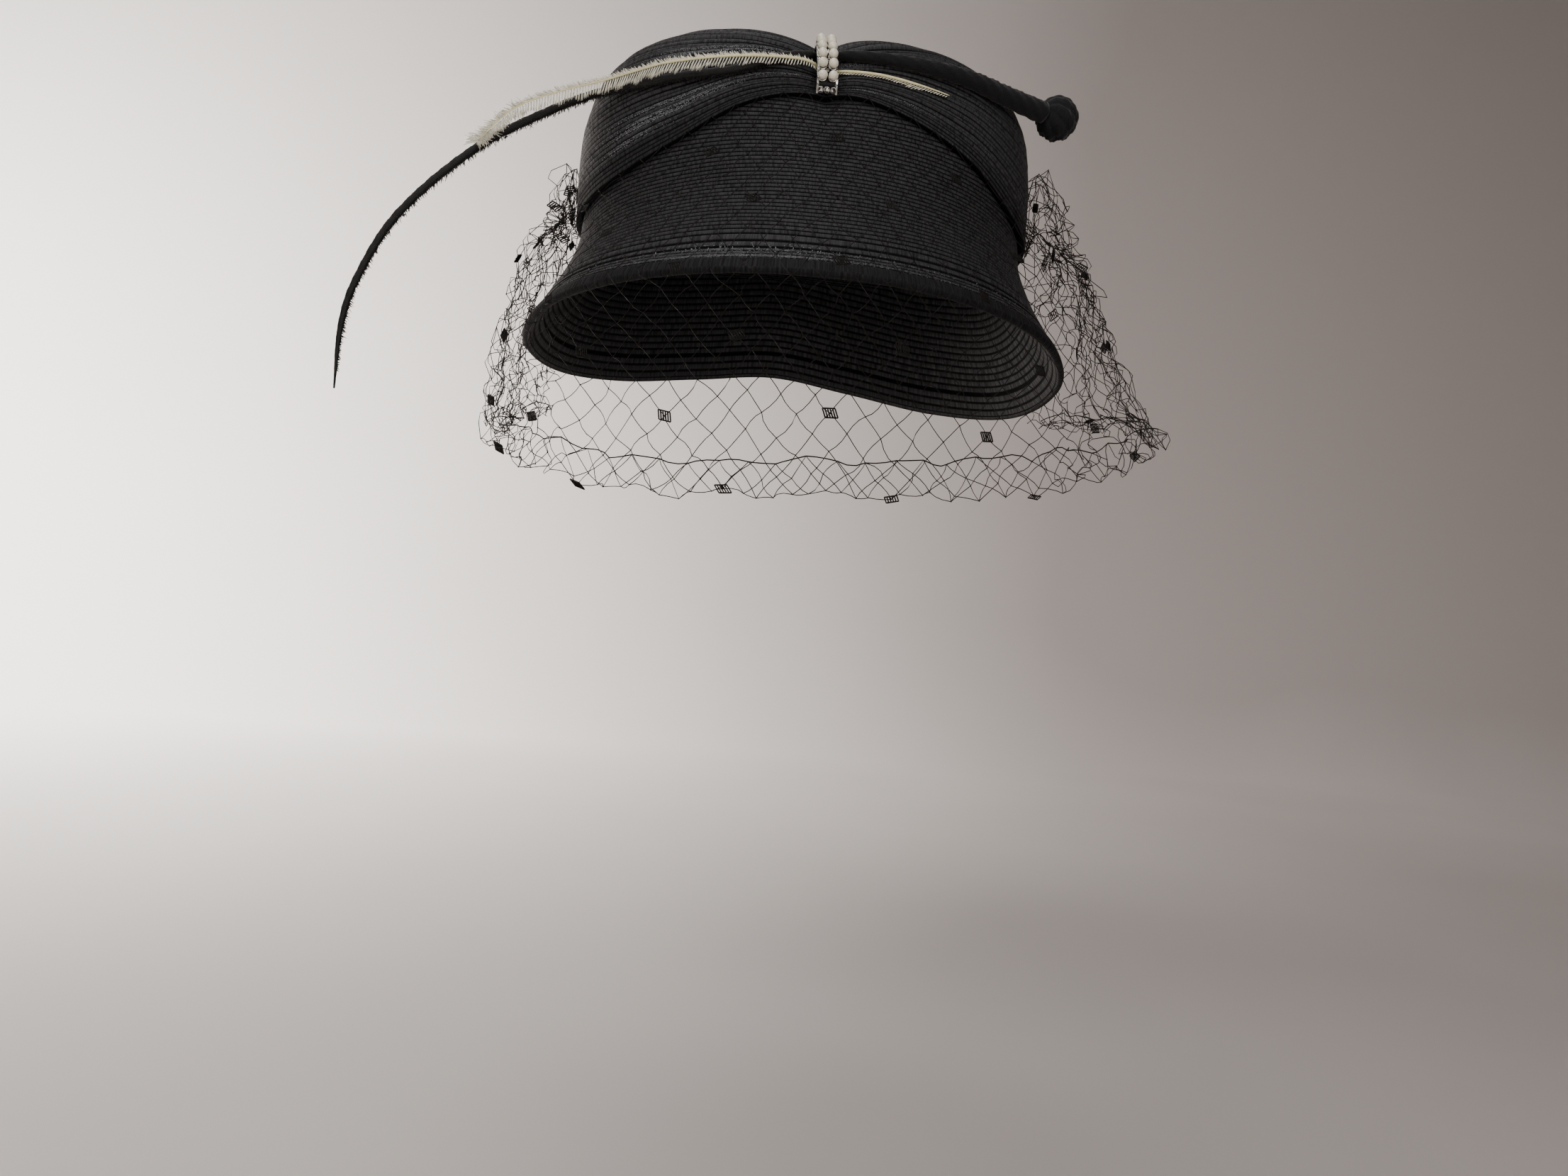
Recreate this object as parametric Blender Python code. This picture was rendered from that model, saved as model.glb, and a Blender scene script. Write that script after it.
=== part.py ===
"""Draped black straw hat: crown, visor brim, net veil, quill with a bobble, feather and pearl clasp.

Metres, +Z up. The origin is the middle of the head opening, where the crown meets the brim, and
the front of the hat faces -Y. Angles go round the head from the front, positive towards +X.
"""
import math
from functools import lru_cache

import bmesh
import bpy
import numpy as np

MM = 0.001

# Straw walls
STRAW_WALL = 2.0 * MM
FIT_GAP = 0.3 * MM
RIB_DEPTH = 0.9 * MM

# Crown: half width, reach to the front and back, and height above the head opening
CROWN_HALF_WIDTH = 90 * MM
CROWN_FRONT = 75 * MM
CROWN_BACK = 98 * MM
CROWN_RISE = 69 * MM
CROWN_RIB = 9.0 * MM
PLAN_SQUARENESS = 2.35
SECTION_SQUARENESS = 3.9

# Pinch that the clasp pulls into the front of the crown's top
VALLEY_DEPTH = 10 * MM
VALLEY_REACH = 48 * MM
VALLEY_LEFT = 17 * MM
VALLEY_RIGHT = 12 * MM
VALLEY_FLOOR = 20 * MM
VALLEY_CREST = 55 * MM

# Visor brim: half width, reach to the front and back, fall of its side flaps, and rolled rim
BRIM_HALF_WIDTH = 108 * MM
BRIM_FRONT = 97 * MM
BRIM_BACK = 106 * MM
FLAP_DROP = 60 * MM
BRIM_TUCK = 8 * MM
BRIM_RIB = 6.2 * MM
RIM_WALL = 3.0 * MM
HEM_WIDTH = 10 * MM

# Net veil: fall below the head opening, swell beyond the rim, puff above its tacks, and fold under
VEIL_DROP = 115 * MM
VEIL_SWELL = 42 * MM
VEIL_PUFF = 42 * MM
VEIL_TUCK = 14 * MM
VEIL_CLEARANCE = 3.0 * MM
VEIL_HALF_ANGLE = 118
NET_CELL = 20.5 * MM
NET_ROWS = 8
NET_STRAND = 1.7 * MM
NET_THICKNESS = 1.2 * MM

# Quill, stem and bobble; the quill's span is its reach beyond the crown's side
QUILL_GIRTH = 3.6 * MM
QUILL_SPAN = 82 * MM
QUILL_DROP = 80 * MM
QUILL_FORWARD = 43 * MM
STEM_GIRTH = 8.0 * MM
BOBBLE_WIDTH = 17 * MM
BOBBLE_LENGTH = 15 * MM
BOBBLE_LOBES = 8
BOBBLE_OUT = 92 * MM
BOBBLE_FORWARD = 42 * MM
BOBBLE_HEIGHT = 44.5 * MM

# Feather; its free end faces this way and reaches its span beyond the crown's side
FEATHER_FACE = (-0.35, -0.93, 0.10)
FEATHER_WIDTH = 7.0 * MM
FEATHER_THICKNESS = 1.3 * MM
FEATHER_SPAN = 34 * MM
FEATHER_FORWARD = 49 * MM
FEATHER_LOCK = 4.6 * MM

# Clasp: strip bridging the quill and feather, with two columns of pearls and small stones
CLASP_WIDTH = 7.4 * MM
CLASP_STRIP = 1.0 * MM
CLASP_LENGTH = 28.5 * MM
CLASP_RISE = 4.7 * MM
CLASP_FOOT = 1.0 * MM
PEARL_SIZE = 3.5 * MM
PEARL_PITCH = 4.1 * MM
PEARL_SPREAD = 3.8 * MM
PEARL_ROWS = 6
STONE_SIZE = 1.5 * MM
END_STONE_SIZE = 2.0 * MM
END_STONES = 3

HAT_SIDES = 40
SECTION_STEPS = 240
ACROSS = np.array([1.0, 0.0, 0.0])

# foot: lower edge of the drape as a share of CROWN_RISE
CROWN_SECTIONS = (
    {"angle": -180, "foot": 0.03},
    {"angle": -145, "foot": 0.00},
    {"angle": -110, "foot": -0.05},
    {"angle": -80, "foot": -0.05},
    {"angle": -60, "foot": 0.03},
    {"angle": -40, "foot": 0.20},
    {"angle": -20, "foot": 0.43},
    {"angle": 0, "foot": 0.53},
    {"angle": 20, "foot": 0.44},
    {"angle": 40, "foot": 0.27},
    {"angle": 60, "foot": 0.05},
    {"angle": 80, "foot": -0.05},
    {"angle": 110, "foot": -0.06},
    {"angle": 145, "foot": 0.00},
)

# reach: share of the brim's plan; drop: share of FLAP_DROP; flare: share of the fall given to the turn-out
BRIM_SECTIONS = (
    {"angle": -180, "reach": 0.99, "drop": 0.66, "flare": 0.40},
    {"angle": -160, "reach": 0.98, "drop": 0.74, "flare": 0.40},
    {"angle": -135, "reach": 0.97, "drop": 0.86, "flare": 0.40},
    {"angle": -110, "reach": 0.98, "drop": 0.90, "flare": 0.40},
    {"angle": -85, "reach": 1.00, "drop": 0.82, "flare": 0.45},
    {"angle": -60, "reach": 1.00, "drop": 0.68, "flare": 0.50},
    {"angle": -30, "reach": 0.99, "drop": 0.59, "flare": 0.50},
    {"angle": 0, "reach": 1.00, "drop": 0.57, "flare": 0.50},
    {"angle": 30, "reach": 1.00, "drop": 0.60, "flare": 0.50},
    {"angle": 60, "reach": 1.01, "drop": 0.71, "flare": 0.50},
    {"angle": 85, "reach": 1.02, "drop": 0.87, "flare": 0.45},
    {"angle": 110, "reach": 1.01, "drop": 0.98, "flare": 0.40},
    {"angle": 135, "reach": 0.97, "drop": 0.92, "flare": 0.40},
    {"angle": 160, "reach": 0.98, "drop": 0.76, "flare": 0.40},
)

# fall, swell, puff and tuck: shares of VEIL_DROP, VEIL_SWELL, VEIL_PUFF and VEIL_TUCK
VEIL_SECTIONS = (
    {"angle": -118, "fall": 0.64, "swell": 0.20, "puff": 0.25, "tuck": 0.4},
    {"angle": -90, "fall": 0.76, "swell": 0.15, "puff": 0.76, "tuck": 0.5},
    {"angle": -62, "fall": 0.90, "swell": 0.20, "puff": 0.20, "tuck": 0.8},
    {"angle": -35, "fall": 0.99, "swell": 0.20, "puff": 0.00, "tuck": 0.9},
    {"angle": 0, "fall": 0.98, "swell": 0.21, "puff": 0.00, "tuck": 1.0},
    {"angle": 35, "fall": 0.93, "swell": 0.26, "puff": 0.00, "tuck": 1.0},
    {"angle": 62, "fall": 0.82, "swell": 0.50, "puff": 0.25, "tuck": 0.8},
    {"angle": 90, "fall": 0.62, "swell": 1.00, "puff": 1.00, "tuck": 0.5},
    {"angle": 118, "fall": 0.52, "swell": 0.80, "puff": 0.40, "tuck": 0.4},
)

# Part of the quill that lies on the crown; height: share of CROWN_RISE; girth: share of QUILL_GIRTH
QUILL_SEATS = (
    {"angle": 0, "height": 0.72, "girth": 0.90},
    {"angle": -12, "height": 0.67, "girth": 0.90},
    {"angle": -25, "height": 0.57, "girth": 0.90},
    {"angle": -43, "height": 0.53, "girth": 0.90},
)

# Part of the quill that stands free; out, height and forward: shares of its span, drop and forward
QUILL_FREE = (
    {"out": -0.11, "height": 0.45, "forward": 1.06, "girth": 0.90},
    {"out": 0.09, "height": 0.365, "forward": 1.01, "girth": 0.90},
    {"out": 0.43, "height": 0.16, "forward": 0.95, "girth": 0.90},
    {"out": 0.77, "height": -0.18, "forward": 0.90, "girth": 0.85},
    {"out": 0.94, "height": -0.51, "forward": 0.87, "girth": 0.80},
    {"out": 0.99, "height": -0.72, "forward": 0.85, "girth": 0.65},
    {"out": 1.00, "height": -1.00, "forward": 0.84, "girth": 0.20},
)

# Stem on the crown's other lobe; girth: share of STEM_GIRTH
STEM_SEATS = (
    {"angle": 10, "height": 0.705, "girth": 0.48},
    {"angle": 20, "height": 0.695, "girth": 0.56},
    {"angle": 35, "height": 0.68, "girth": 0.72},
    {"angle": 50, "height": 0.655, "girth": 0.88},
)

# Feather from its tip to its curled end; lift: share of QUILL_GIRTH kept behind it; up and down:
# its two vanes as shares of FEATHER_WIDTH
FEATHER_SEATS = (
    {"angle": 34, "height": 0.570, "lift": 0.00, "up": 0.06, "down": 0.10},
    {"angle": 26, "height": 0.590, "lift": 0.00, "up": 0.10, "down": 0.45},
    {"angle": 14, "height": 0.615, "lift": 0.00, "up": 0.12, "down": 0.40},
    {"angle": 0, "height": 0.620, "lift": 0.00, "up": 0.12, "down": 0.16},
    {"angle": -9, "height": 0.612, "lift": 1.00, "up": 0.14, "down": 0.30},
    {"angle": -23, "height": 0.603, "lift": 1.10, "up": 0.18, "down": 0.45},
    {"angle": -43, "height": 0.572, "lift": 1.15, "up": 0.22, "down": 0.60},
)
FEATHER_FREE = (
    {"out": -0.28, "height": 0.55, "forward": 1.04, "up": 0.26, "down": 0.62},
    {"out": 0.20, "height": 0.47, "forward": 1.02, "up": 0.28, "down": 0.60},
    {"out": 0.63, "height": 0.37, "forward": 1.00, "up": 0.26, "down": 0.50},
    {"out": 1.00, "height": 0.18, "forward": 1.00, "up": 0.10, "down": 0.20},
)


def principled(name, colour, roughness, metallic=0.0):
    """Material with one Principled shader."""
    material = bpy.data.materials.new(name)
    material.use_nodes = True
    shader = material.node_tree.nodes["Principled BSDF"]
    shader.inputs["Base Color"].default_value = (*colour, 1.0)
    shader.inputs["Roughness"].default_value = roughness
    shader.inputs["Metallic"].default_value = metallic
    return material


def add_body(name, skin, material, sharp_degrees=40):
    """Object made from a bmesh, with its faces pointing out and its round parts smooth."""
    bmesh.ops.recalc_face_normals(skin, faces=skin.faces[:])
    mesh = bpy.data.meshes.new(name)
    skin.to_mesh(mesh)
    skin.free()
    mesh.shade_smooth()
    mesh.set_sharp_from_angle(angle=math.radians(sharp_degrees))
    mesh.materials.append(material)
    body = bpy.data.objects.new(name, mesh)
    bpy.context.collection.objects.link(body)
    return body


def loft(rings, first=None, last=None, wrap=False):
    """Closed skin over rings of equal count; first and last are poles, or None for a flat cap."""
    skin = bmesh.new()
    rows = [[skin.verts.new(point) for point in ring] for ring in rings]
    count = len(rings[0])
    pairs = list(zip(rows, rows[1:]))
    if wrap:
        pairs.append((rows[-1], rows[0]))
    for low, high in pairs:
        for i in range(count):
            j = (i + 1) % count
            skin.faces.new((low[i], low[j], high[j], high[i]))
    if not wrap:
        for row, pole in ((rows[0], first), (rows[-1], last)):
            if pole is None:
                skin.faces.new(row)
                continue
            tip = skin.verts.new(pole)
            for i in range(count):
                skin.faces.new((row[i], row[(i + 1) % count], tip))
    return skin


def unit(vector):
    return vector / np.linalg.norm(vector)


def column(table, name, angle):
    """Smooth value of a table's column at an angle, closed round the head."""
    at = [row["angle"] for row in table]
    value = [row[name] for row in table]
    at = [at[-1] - 360] + at + [at[0] + 360, at[1] + 360]
    value = [value[-1]] + value + value[:2]
    a = (angle + 180) % 360 - 180
    i = 1
    while a >= at[i + 1]:
        i += 1
    before = (value[i + 1] - value[i - 1]) / (at[i + 1] - at[i - 1])
    after = (value[i + 2] - value[i]) / (at[i + 2] - at[i])
    span = at[i + 1] - at[i]
    return hermite(value[i], value[i + 1], before * span, after * span, (a - at[i]) / span)


def hermite(start, end, leave, arrive, t):
    rise = start * (2 * t**3 - 3 * t**2 + 1) + leave * (t**3 - 2 * t**2 + t)
    return rise + end * (3 * t**2 - 2 * t**3) + arrive * (t**3 - t**2)


def smooth_path(stations, steps):
    """Points of a smooth curve through the stations, with steps points to each span."""
    points = [np.array(station, float) for station in stations]
    ends = [2 * points[0] - points[1]] + points + [2 * points[-1] - points[-2]]
    path = []
    for before, start, end, after in zip(ends, ends[1:], ends[2:], ends[3:]):
        lengths = [max(np.linalg.norm((b - a)[:3]), 1e-9) for a, b in
                   ((before, start), (start, end), (end, after))]
        leave = lengths[1] * (end - before) / (lengths[0] + lengths[1])
        arrive = lengths[1] * (after - start) / (lengths[1] + lengths[2])
        path += [hermite(start, end, leave, arrive, k / steps) for k in range(steps)]
    return np.array(path + [points[-1]])


def even_points(path, count):
    """A path's points spread evenly along its length."""
    steps = np.linalg.norm(np.diff(path[:, :3], axis=0), axis=1)
    length = np.concatenate([[0], np.cumsum(steps)])
    at = np.linspace(0, length[-1], count)
    return np.stack([np.interp(at, length, path[:, k]) for k in range(path.shape[1])], 1)


def path_length(path):
    return np.linalg.norm(np.diff(path[:, :3], axis=0), axis=1).sum()


def plan_reach(angle, half_width, front, back, squareness=2.0):
    """Distance from the axis to an oval with its own depth to the front and to the back."""
    a = math.radians(angle)
    depth = front if math.cos(a) > 0 else back
    side = abs(math.sin(a) / half_width) ** squareness
    ahead = abs(math.cos(a) / depth) ** squareness
    return (side + ahead) ** (-1 / squareness)


def crown_reach(angle):
    return plan_reach(angle, CROWN_HALF_WIDTH, CROWN_FRONT, CROWN_BACK, PLAN_SQUARENESS)


@lru_cache(maxsize=None)
def crown_section(angle):
    """Reach, height and length along the crown's section, from the drape's edge to the top."""
    reach = crown_reach(angle)
    foot = column(CROWN_SECTIONS, "foot", angle) * CROWN_RISE
    turn = np.linspace(0, math.pi / 2, SECTION_STEPS)
    power = 2 / SECTION_SQUARENESS
    r = reach * np.clip(np.cos(turn), 0, 1) ** power
    r[-1] = 0
    z = CROWN_RISE * np.sin(turn) ** power
    start = np.interp(foot, z, r) if foot > 0 else reach
    kept = z > max(foot, 0) * 1.0001
    if foot < 0:
        kept[0] = True
    r = np.concatenate([[start], r[kept]])
    z = np.concatenate([[foot], z[kept]])
    length = np.concatenate([[0], np.cumsum(np.hypot(np.diff(r), np.diff(z)))])
    return r, z, length


def gathered(angle, row):
    """Row share after the clasp has drawn the lower rows together at the front."""
    a = abs((angle + 180) % 360 - 180)
    pull = math.exp(-((a / 36) ** 2))
    drawn = row / 0.45 * 0.26 if row < 0.45 else 0.26 + (row - 0.45) / 0.55 * 0.74
    return row + pull * (drawn - row)


def pinched(point):
    """Point after the clasp has pulled the front of the crown's top down and back."""
    x, y, z = point
    behind = max(y + 0.8 * CROWN_FRONT, 0)
    along = math.exp(-((behind / VALLEY_REACH) ** 2))
    low = min(max((z - VALLEY_FLOOR) / (VALLEY_CREST - VALLEY_FLOOR), 0), 1)
    width = VALLEY_LEFT if x < 0 else VALLEY_RIGHT
    near = math.exp(-(abs(x / width) ** 1.1))
    depth = VALLEY_DEPTH * along * near * low
    return np.array([x, y + 0.45 * depth, z - 0.75 * depth])


def from_axis(angle, reach, height):
    a = math.radians(angle)
    return np.array([reach * math.sin(a), -reach * math.cos(a), height])


def crown_at_share(angle, share):
    r, z, length = crown_section(angle)
    at = share * length[-1]
    return pinched(from_axis(angle, np.interp(at, length, r), np.interp(at, length, z)))


def crown_point(angle, row):
    return crown_at_share(angle, gathered(angle, row))


def facing(point_at, angle, share, span=0.01, turn=1.5):
    """Outward normal of a surface given by angle and share."""
    low, high = max(share - span, 0), min(share + span, 1)
    along = point_at(angle, high) - point_at(angle, low)
    across = point_at(angle + turn, share) - point_at(angle - turn, share)
    if np.linalg.norm(across) < 0.0003 * CROWN_RISE:
        return np.array([0.0, 0.0, 1.0])
    return unit(np.cross(across, along))


def crown_lifted(angle, row, lift):
    if row > 0.985:
        return crown_point(angle, row) + np.array([0, 0, lift])
    return crown_point(angle, row) + lift * facing(crown_point, angle, row)


def hat_angles():
    return [-180 + 360 * k / HAT_SIDES for k in range(HAT_SIDES)]


def build_crown(material):
    """Draped shell whose ribs run round it and draw together at the clasp."""
    around = math.radians(90) * (CROWN_HALF_WIDTH + CROWN_RISE)
    ribs = round(around / CROWN_RIB * 0.6)
    rows = [(k + part) / ribs for k in range(ribs) for part in (0, 0.6)]
    depths = [0 if k % 2 == 0 else RIB_DEPTH for k in range(len(rows))]
    fade = [min(1, (1 - row) / 0.12) for row in rows]
    outer = [
        [crown_lifted(angle, row, -depth * fading) for angle in hat_angles()]
        for row, depth, fading in zip(rows, depths, fade)
    ]
    inner_rows = [0, 0.06, 0.20, 0.34, 0.46, 0.58, 0.70, 0.85]
    inner = [[crown_lifted(a, row, -STRAW_WALL) for a in hat_angles()] for row in inner_rows]
    skin = loft(
        outer[::-1] + inner,
        first=crown_lifted(0, 1, 0),
        last=crown_lifted(0, 1, -STRAW_WALL),
    )
    return add_body("crown", skin, material, 30)


@lru_cache(maxsize=None)
def brim_path(angle):
    """Outer face of the brim from its edge hidden under the drape to its rim."""
    inset = STRAW_WALL + 2 * FIT_GAP
    length = crown_section(angle)[2][-1]
    shares = [BRIM_TUCK / length * part for part in (1.0, 0.5, 0.0)]
    hidden = [crown_at_share(angle, s) - inset * facing(crown_at_share, angle, s) for s in shares]
    start = hidden[-1]
    lead = unit(hidden[-1] - hidden[0])
    reach = plan_reach(angle, BRIM_HALF_WIDTH, BRIM_FRONT, BRIM_BACK)
    reach *= column(BRIM_SECTIONS, "reach", angle)
    end = from_axis(angle, reach, -FLAP_DROP * column(BRIM_SECTIONS, "drop", angle))
    fall = start[2] - end[2]
    flare = column(BRIM_SECTIONS, "flare", angle)
    out = np.array([start[0] - end[0], start[1] - end[1], 0])
    second = start + lead * 0.38 * fall
    third = end + flare * out + np.array([0, 0, 0.30 * fall])
    curve = []
    for t in np.linspace(0, 1, 40)[1:]:
        near = (1 - t) ** 3 * start + 3 * (1 - t) ** 2 * t * second
        curve.append(near + 3 * (1 - t) * t**2 * third + t**3 * end)
    return np.array(hidden + curve)


def brim_point(angle, share):
    path = brim_path(angle)
    steps = np.linalg.norm(np.diff(path, axis=0), axis=1)
    length = np.concatenate([[0], np.cumsum(steps)])
    at = share * length[-1]
    return np.array([np.interp(at, length, path[:, k]) for k in range(3)])


def brim_lifted(angle, share, lift):
    return brim_point(angle, share) - lift * facing(brim_point, angle, share)


def build_brim(material):
    """Ribbed visor brim with a rolled rim and a turned-in hem."""
    length = path_length(brim_path(0))
    ribs = round(length / BRIM_RIB)
    rows = [(k + part) / ribs for k in range(ribs) for part in (0, 0.55)] + [1.0]
    depths = [0 if k % 2 == 0 else RIB_DEPTH for k in range(len(rows) - 1)] + [0.0]
    tuck_share = BRIM_TUCK / length
    depths = [0 if row < tuck_share else depth for row, depth in zip(rows, depths)]
    outer = [[brim_lifted(a, row, -depth) for a in hat_angles()] for row, depth in zip(rows, depths)]
    nose = []
    for angle in hat_angles():
        onward = unit(brim_point(angle, 1) - brim_point(angle, 0.97))
        nose.append(brim_lifted(angle, 1, -RIM_WALL / 2) + onward * RIM_WALL / 2)
    hem = 1 - HEM_WIDTH / length
    inner_rows = [1, hem, hem - 0.02, 0.62, 0.42, 0.22, 0]
    walls = [RIM_WALL, RIM_WALL] + [STRAW_WALL] * 5
    inner = [[brim_lifted(a, row, -wall) for a in hat_angles()] for row, wall in zip(inner_rows, walls)]
    return add_body("brim", loft(outer + [nose] + inner, wrap=True), material, 30)


def veil_path(angle):
    """The net's fall at an angle: from the drape's edge, over the rim, to its fold and selvedge."""
    swell = column(VEIL_SECTIONS, "swell", angle) * VEIL_SWELL
    puff_share = max(column(VEIL_SECTIONS, "puff", angle), 0)
    puff = puff_share * VEIL_PUFF
    clear = NET_THICKNESS / 2 + FIT_GAP
    top = crown_point(angle, 0) + 1.5 * clear * facing(crown_point, angle, 0)
    rim = brim_point(angle, 1)
    away = from_axis(angle, 1, 0)
    over = rim + away * (VEIL_CLEARANCE + 0.55 * swell)
    fold = np.array([rim[0], rim[1], 0]) + away * (VEIL_CLEARANCE + swell)
    fold[2] = -column(VEIL_SECTIONS, "fall", angle) * VEIL_DROP
    between = 0.42 * (1 - min(puff_share, 1))
    crest = top + between * (over - top) + away * (0.12 * puff) + np.array([0, 0, puff])
    tuck = column(VEIL_SECTIONS, "tuck", angle) * VEIL_TUCK
    selvedge = fold - away * (0.5 * tuck) + np.array([0, 0, tuck])
    fall = even_points(smooth_path([top, crest, over, fold], 16), NET_ROWS)
    return list(fall) + [selvedge]


def net_cells(columns, first, last):
    """Knots round each gap of a band of net; cells cut by the band's edges keep a knot there."""
    for i in range(columns + 1):
        for j in range(first, last + 1):
            if (i + j) % 2:
                corners = [(i, j - 1), (i + 1, j), (i, j + 1), (i - 1, j)]
                inside = [0 <= a <= columns and first <= b <= last for a, b in corners]
                yield list(dict.fromkeys(c if kept else (i, j) for c, kept in zip(corners, inside)))


def build_veil(material):
    """Diamond net cut through between its strands, with its lower edge folded under."""
    width = math.radians(2 * VEIL_HALF_ANGLE) * (BRIM_HALF_WIDTH + VEIL_CLEARANCE)
    columns = 2 * round(width / NET_CELL / 2)
    angles = [VEIL_HALF_ANGLE * (2 * i / columns - 1) for i in range(columns + 1)]
    falls = [veil_path(angle) for angle in angles]
    fold = NET_ROWS - 1
    net = bmesh.new()
    knots = {}
    for band in ((0, fold), (fold, NET_ROWS)):
        for corners in net_cells(columns, *band):
            for i, j in corners:
                if (i, j) not in knots:
                    knots[i, j] = net.verts.new(falls[i][j])
            cut_cell(net, [knots[corner] for corner in corners])
    veil = add_body("veil", net, material, 50)
    solidify = veil.modifiers.new("thickness", "SOLIDIFY")
    solidify.thickness = NET_THICKNESS
    solidify.offset = 0
    return veil


def cut_cell(net, corners):
    """Half strands round a gap, whose edges lie half a strand inside the lines between knots."""
    places = [np.array(corner.co) for corner in corners]
    middle = sum(places) / len(places)
    sides = [b - a for a, b in zip(places, places[1:] + places[:1])]
    area = sum(np.linalg.norm(np.cross(p - middle, side)) / 2 for p, side in zip(places, sides))
    inner_radius = 2 * area / sum(np.linalg.norm(side) for side in sides)
    keep = 1 - NET_STRAND / 2 / inner_radius
    hole = [net.verts.new(middle + keep * (place - middle)) for place in places]
    for k in range(len(corners)):
        n = (k + 1) % len(corners)
        net.faces.new((corners[k], corners[n], hole[n], hole[k]))


def seat(angle, height_share, lift):
    """Point lifted off the crown's front at a height, and the direction out of the crown there."""
    shares = np.linspace(0, 0.7, 141)
    heights = [crown_at_share(angle, share)[2] for share in shares]
    share = float(np.interp(height_share * CROWN_RISE, heights, shares))
    out = facing(crown_at_share, angle, share, span=0.02)
    return crown_at_share(angle, share) + lift * out, out


def tube_rings(path, girths, sides=8, lobes=None):
    """Rings square to a path, turned as little as they can be from one to the next."""
    rings = []
    side = None
    for k, (point, girth) in enumerate(zip(path, girths)):
        ahead = unit(path[min(k + 1, len(path) - 1)] - path[max(k - 1, 0)])
        side = np.cross(ahead, [0, 0, 1]) if side is None else side - ahead * side.dot(ahead)
        side = unit(side)
        up = np.cross(side, ahead)
        ring = []
        for n in range(sides):
            a = 2 * math.pi * n / sides
            radius = girth / 2 * (lobes(a, k) if lobes else 1)
            ring.append(point + radius * (math.cos(a) * side + math.sin(a) * up))
        rings.append(ring)
    return rings


def bobble_middle():
    return np.array([BOBBLE_OUT, -BOBBLE_FORWARD, BOBBLE_HEIGHT])


def crown_course(rows, names, lift_of, steps=6):
    """Stations that follow the crown: each row's place, way out and named values, filled in."""
    table = [[row["angle"] / 100, row["height"], *(row[name] for name in names)] for row in rows]
    stations = []
    for values in smooth_path(table, steps):
        point, out = seat(values[0] * 100, values[1], lift_of(values[2:]))
        stations.append([*point, *out, *values[2:]])
    return stations


def quill_path():
    """Stations of the quill with its girth, from its tip to the stem's end at the bobble."""
    free = []
    for row in reversed(QUILL_FREE):
        free.append([
            -CROWN_HALF_WIDTH - row["out"] * QUILL_SPAN, -row["forward"] * QUILL_FORWARD,
            row["height"] * QUILL_DROP, row["girth"] * QUILL_GIRTH,
        ])
    rows = [{**row, "girth": row["girth"] * QUILL_GIRTH} for row in reversed(QUILL_SEATS)]
    rows += [{**row, "girth": row["girth"] * STEM_GIRTH} for row in STEM_SEATS]
    seated = crown_course(rows, ["girth"], lambda values: values[0] / 2 + 2 * FIT_GAP)
    stations = free + [[*station[:3], station[6]] for station in seated]
    toward = unit(bobble_middle() - np.array(stations[-1][:3]))
    end = bobble_middle() - toward * (BOBBLE_LENGTH / 2)
    stations.append([*end, STEM_GIRTH])
    return smooth_path(stations, 4), toward


def build_quill(material):
    path, _ = quill_path()
    path = even_points(path, 36)
    return add_body("quill", loft(tube_rings(path[:, :3], path[:, 3], 6)), material)


def build_bobble(material):
    """Lobed ball on the stem's end, flat where it meets the stem."""
    path, toward = quill_path()
    start = path[-1, :3] + toward * FIT_GAP
    shares = np.linspace(0, 1, 8)
    turns = math.pi * (0.15 + 0.77 * shares)
    along = (np.cos(turns[0]) - np.cos(turns)) / (np.cos(turns[0]) - np.cos(turns[-1]))
    points = [start + toward * share * BOBBLE_LENGTH for share in along]
    girths = np.sin(turns) * BOBBLE_WIDTH

    def lobes(a, k):
        return 0.95 + 0.05 * math.cos(BOBBLE_LOBES * (a + 0.2 * k))

    return add_body("bobble", loft(tube_rings(points, girths, 16, lobes)), material, 60)


def feather_path():
    """Stations of the feather: place, the direction out of the hat, and the two vanes' widths."""
    shaft = FEATHER_THICKNESS / 2 + 2 * FIT_GAP
    seated = crown_course(
        FEATHER_SEATS, ["lift", "up", "down"],
        lambda values: max(values[0], 0) * (QUILL_GIRTH + 2 * FIT_GAP) + shaft,
    )
    stations = []
    for x, y, z, *rest in seated:
        stations.append([x, y, z, *rest[:3], rest[4] * FEATHER_WIDTH, rest[5] * FEATHER_WIDTH])
    for row in FEATHER_FREE:
        place = [
            -CROWN_HALF_WIDTH - row["out"] * FEATHER_SPAN, -row["forward"] * FEATHER_FORWARD,
            row["height"] * CROWN_RISE,
        ]
        vanes = [row["up"] * FEATHER_WIDTH, row["down"] * FEATHER_WIDTH]
        stations.append([*place, *FEATHER_FACE, *vanes])
    return smooth_path(stations, 6)


def build_feather(material):
    """Flat feather: a thicker shaft between two vanes parted into locks."""
    path = feather_path()
    locks = round(path_length(path) / FEATHER_LOCK)
    path = even_points(path, 2 * locks + 1)
    rings = []
    for k, row in enumerate(path):
        ahead = unit(path[min(k + 1, len(path) - 1), :3] - path[max(k - 1, 0), :3])
        out = unit(row[3:6] - ahead * row[3:6].dot(ahead))
        up = np.cross(out, ahead)
        full = 1.0 if k % 2 else 0.62
        middle = row[:3]
        half = FEATHER_THICKNESS / 2
        rings.append([
            middle + up * (half + row[6] * full), middle + out * half,
            middle - up * (half + row[7] * full), middle - out * half,
        ])
    return add_body("feather", loft(rings), material, 60)


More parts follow.
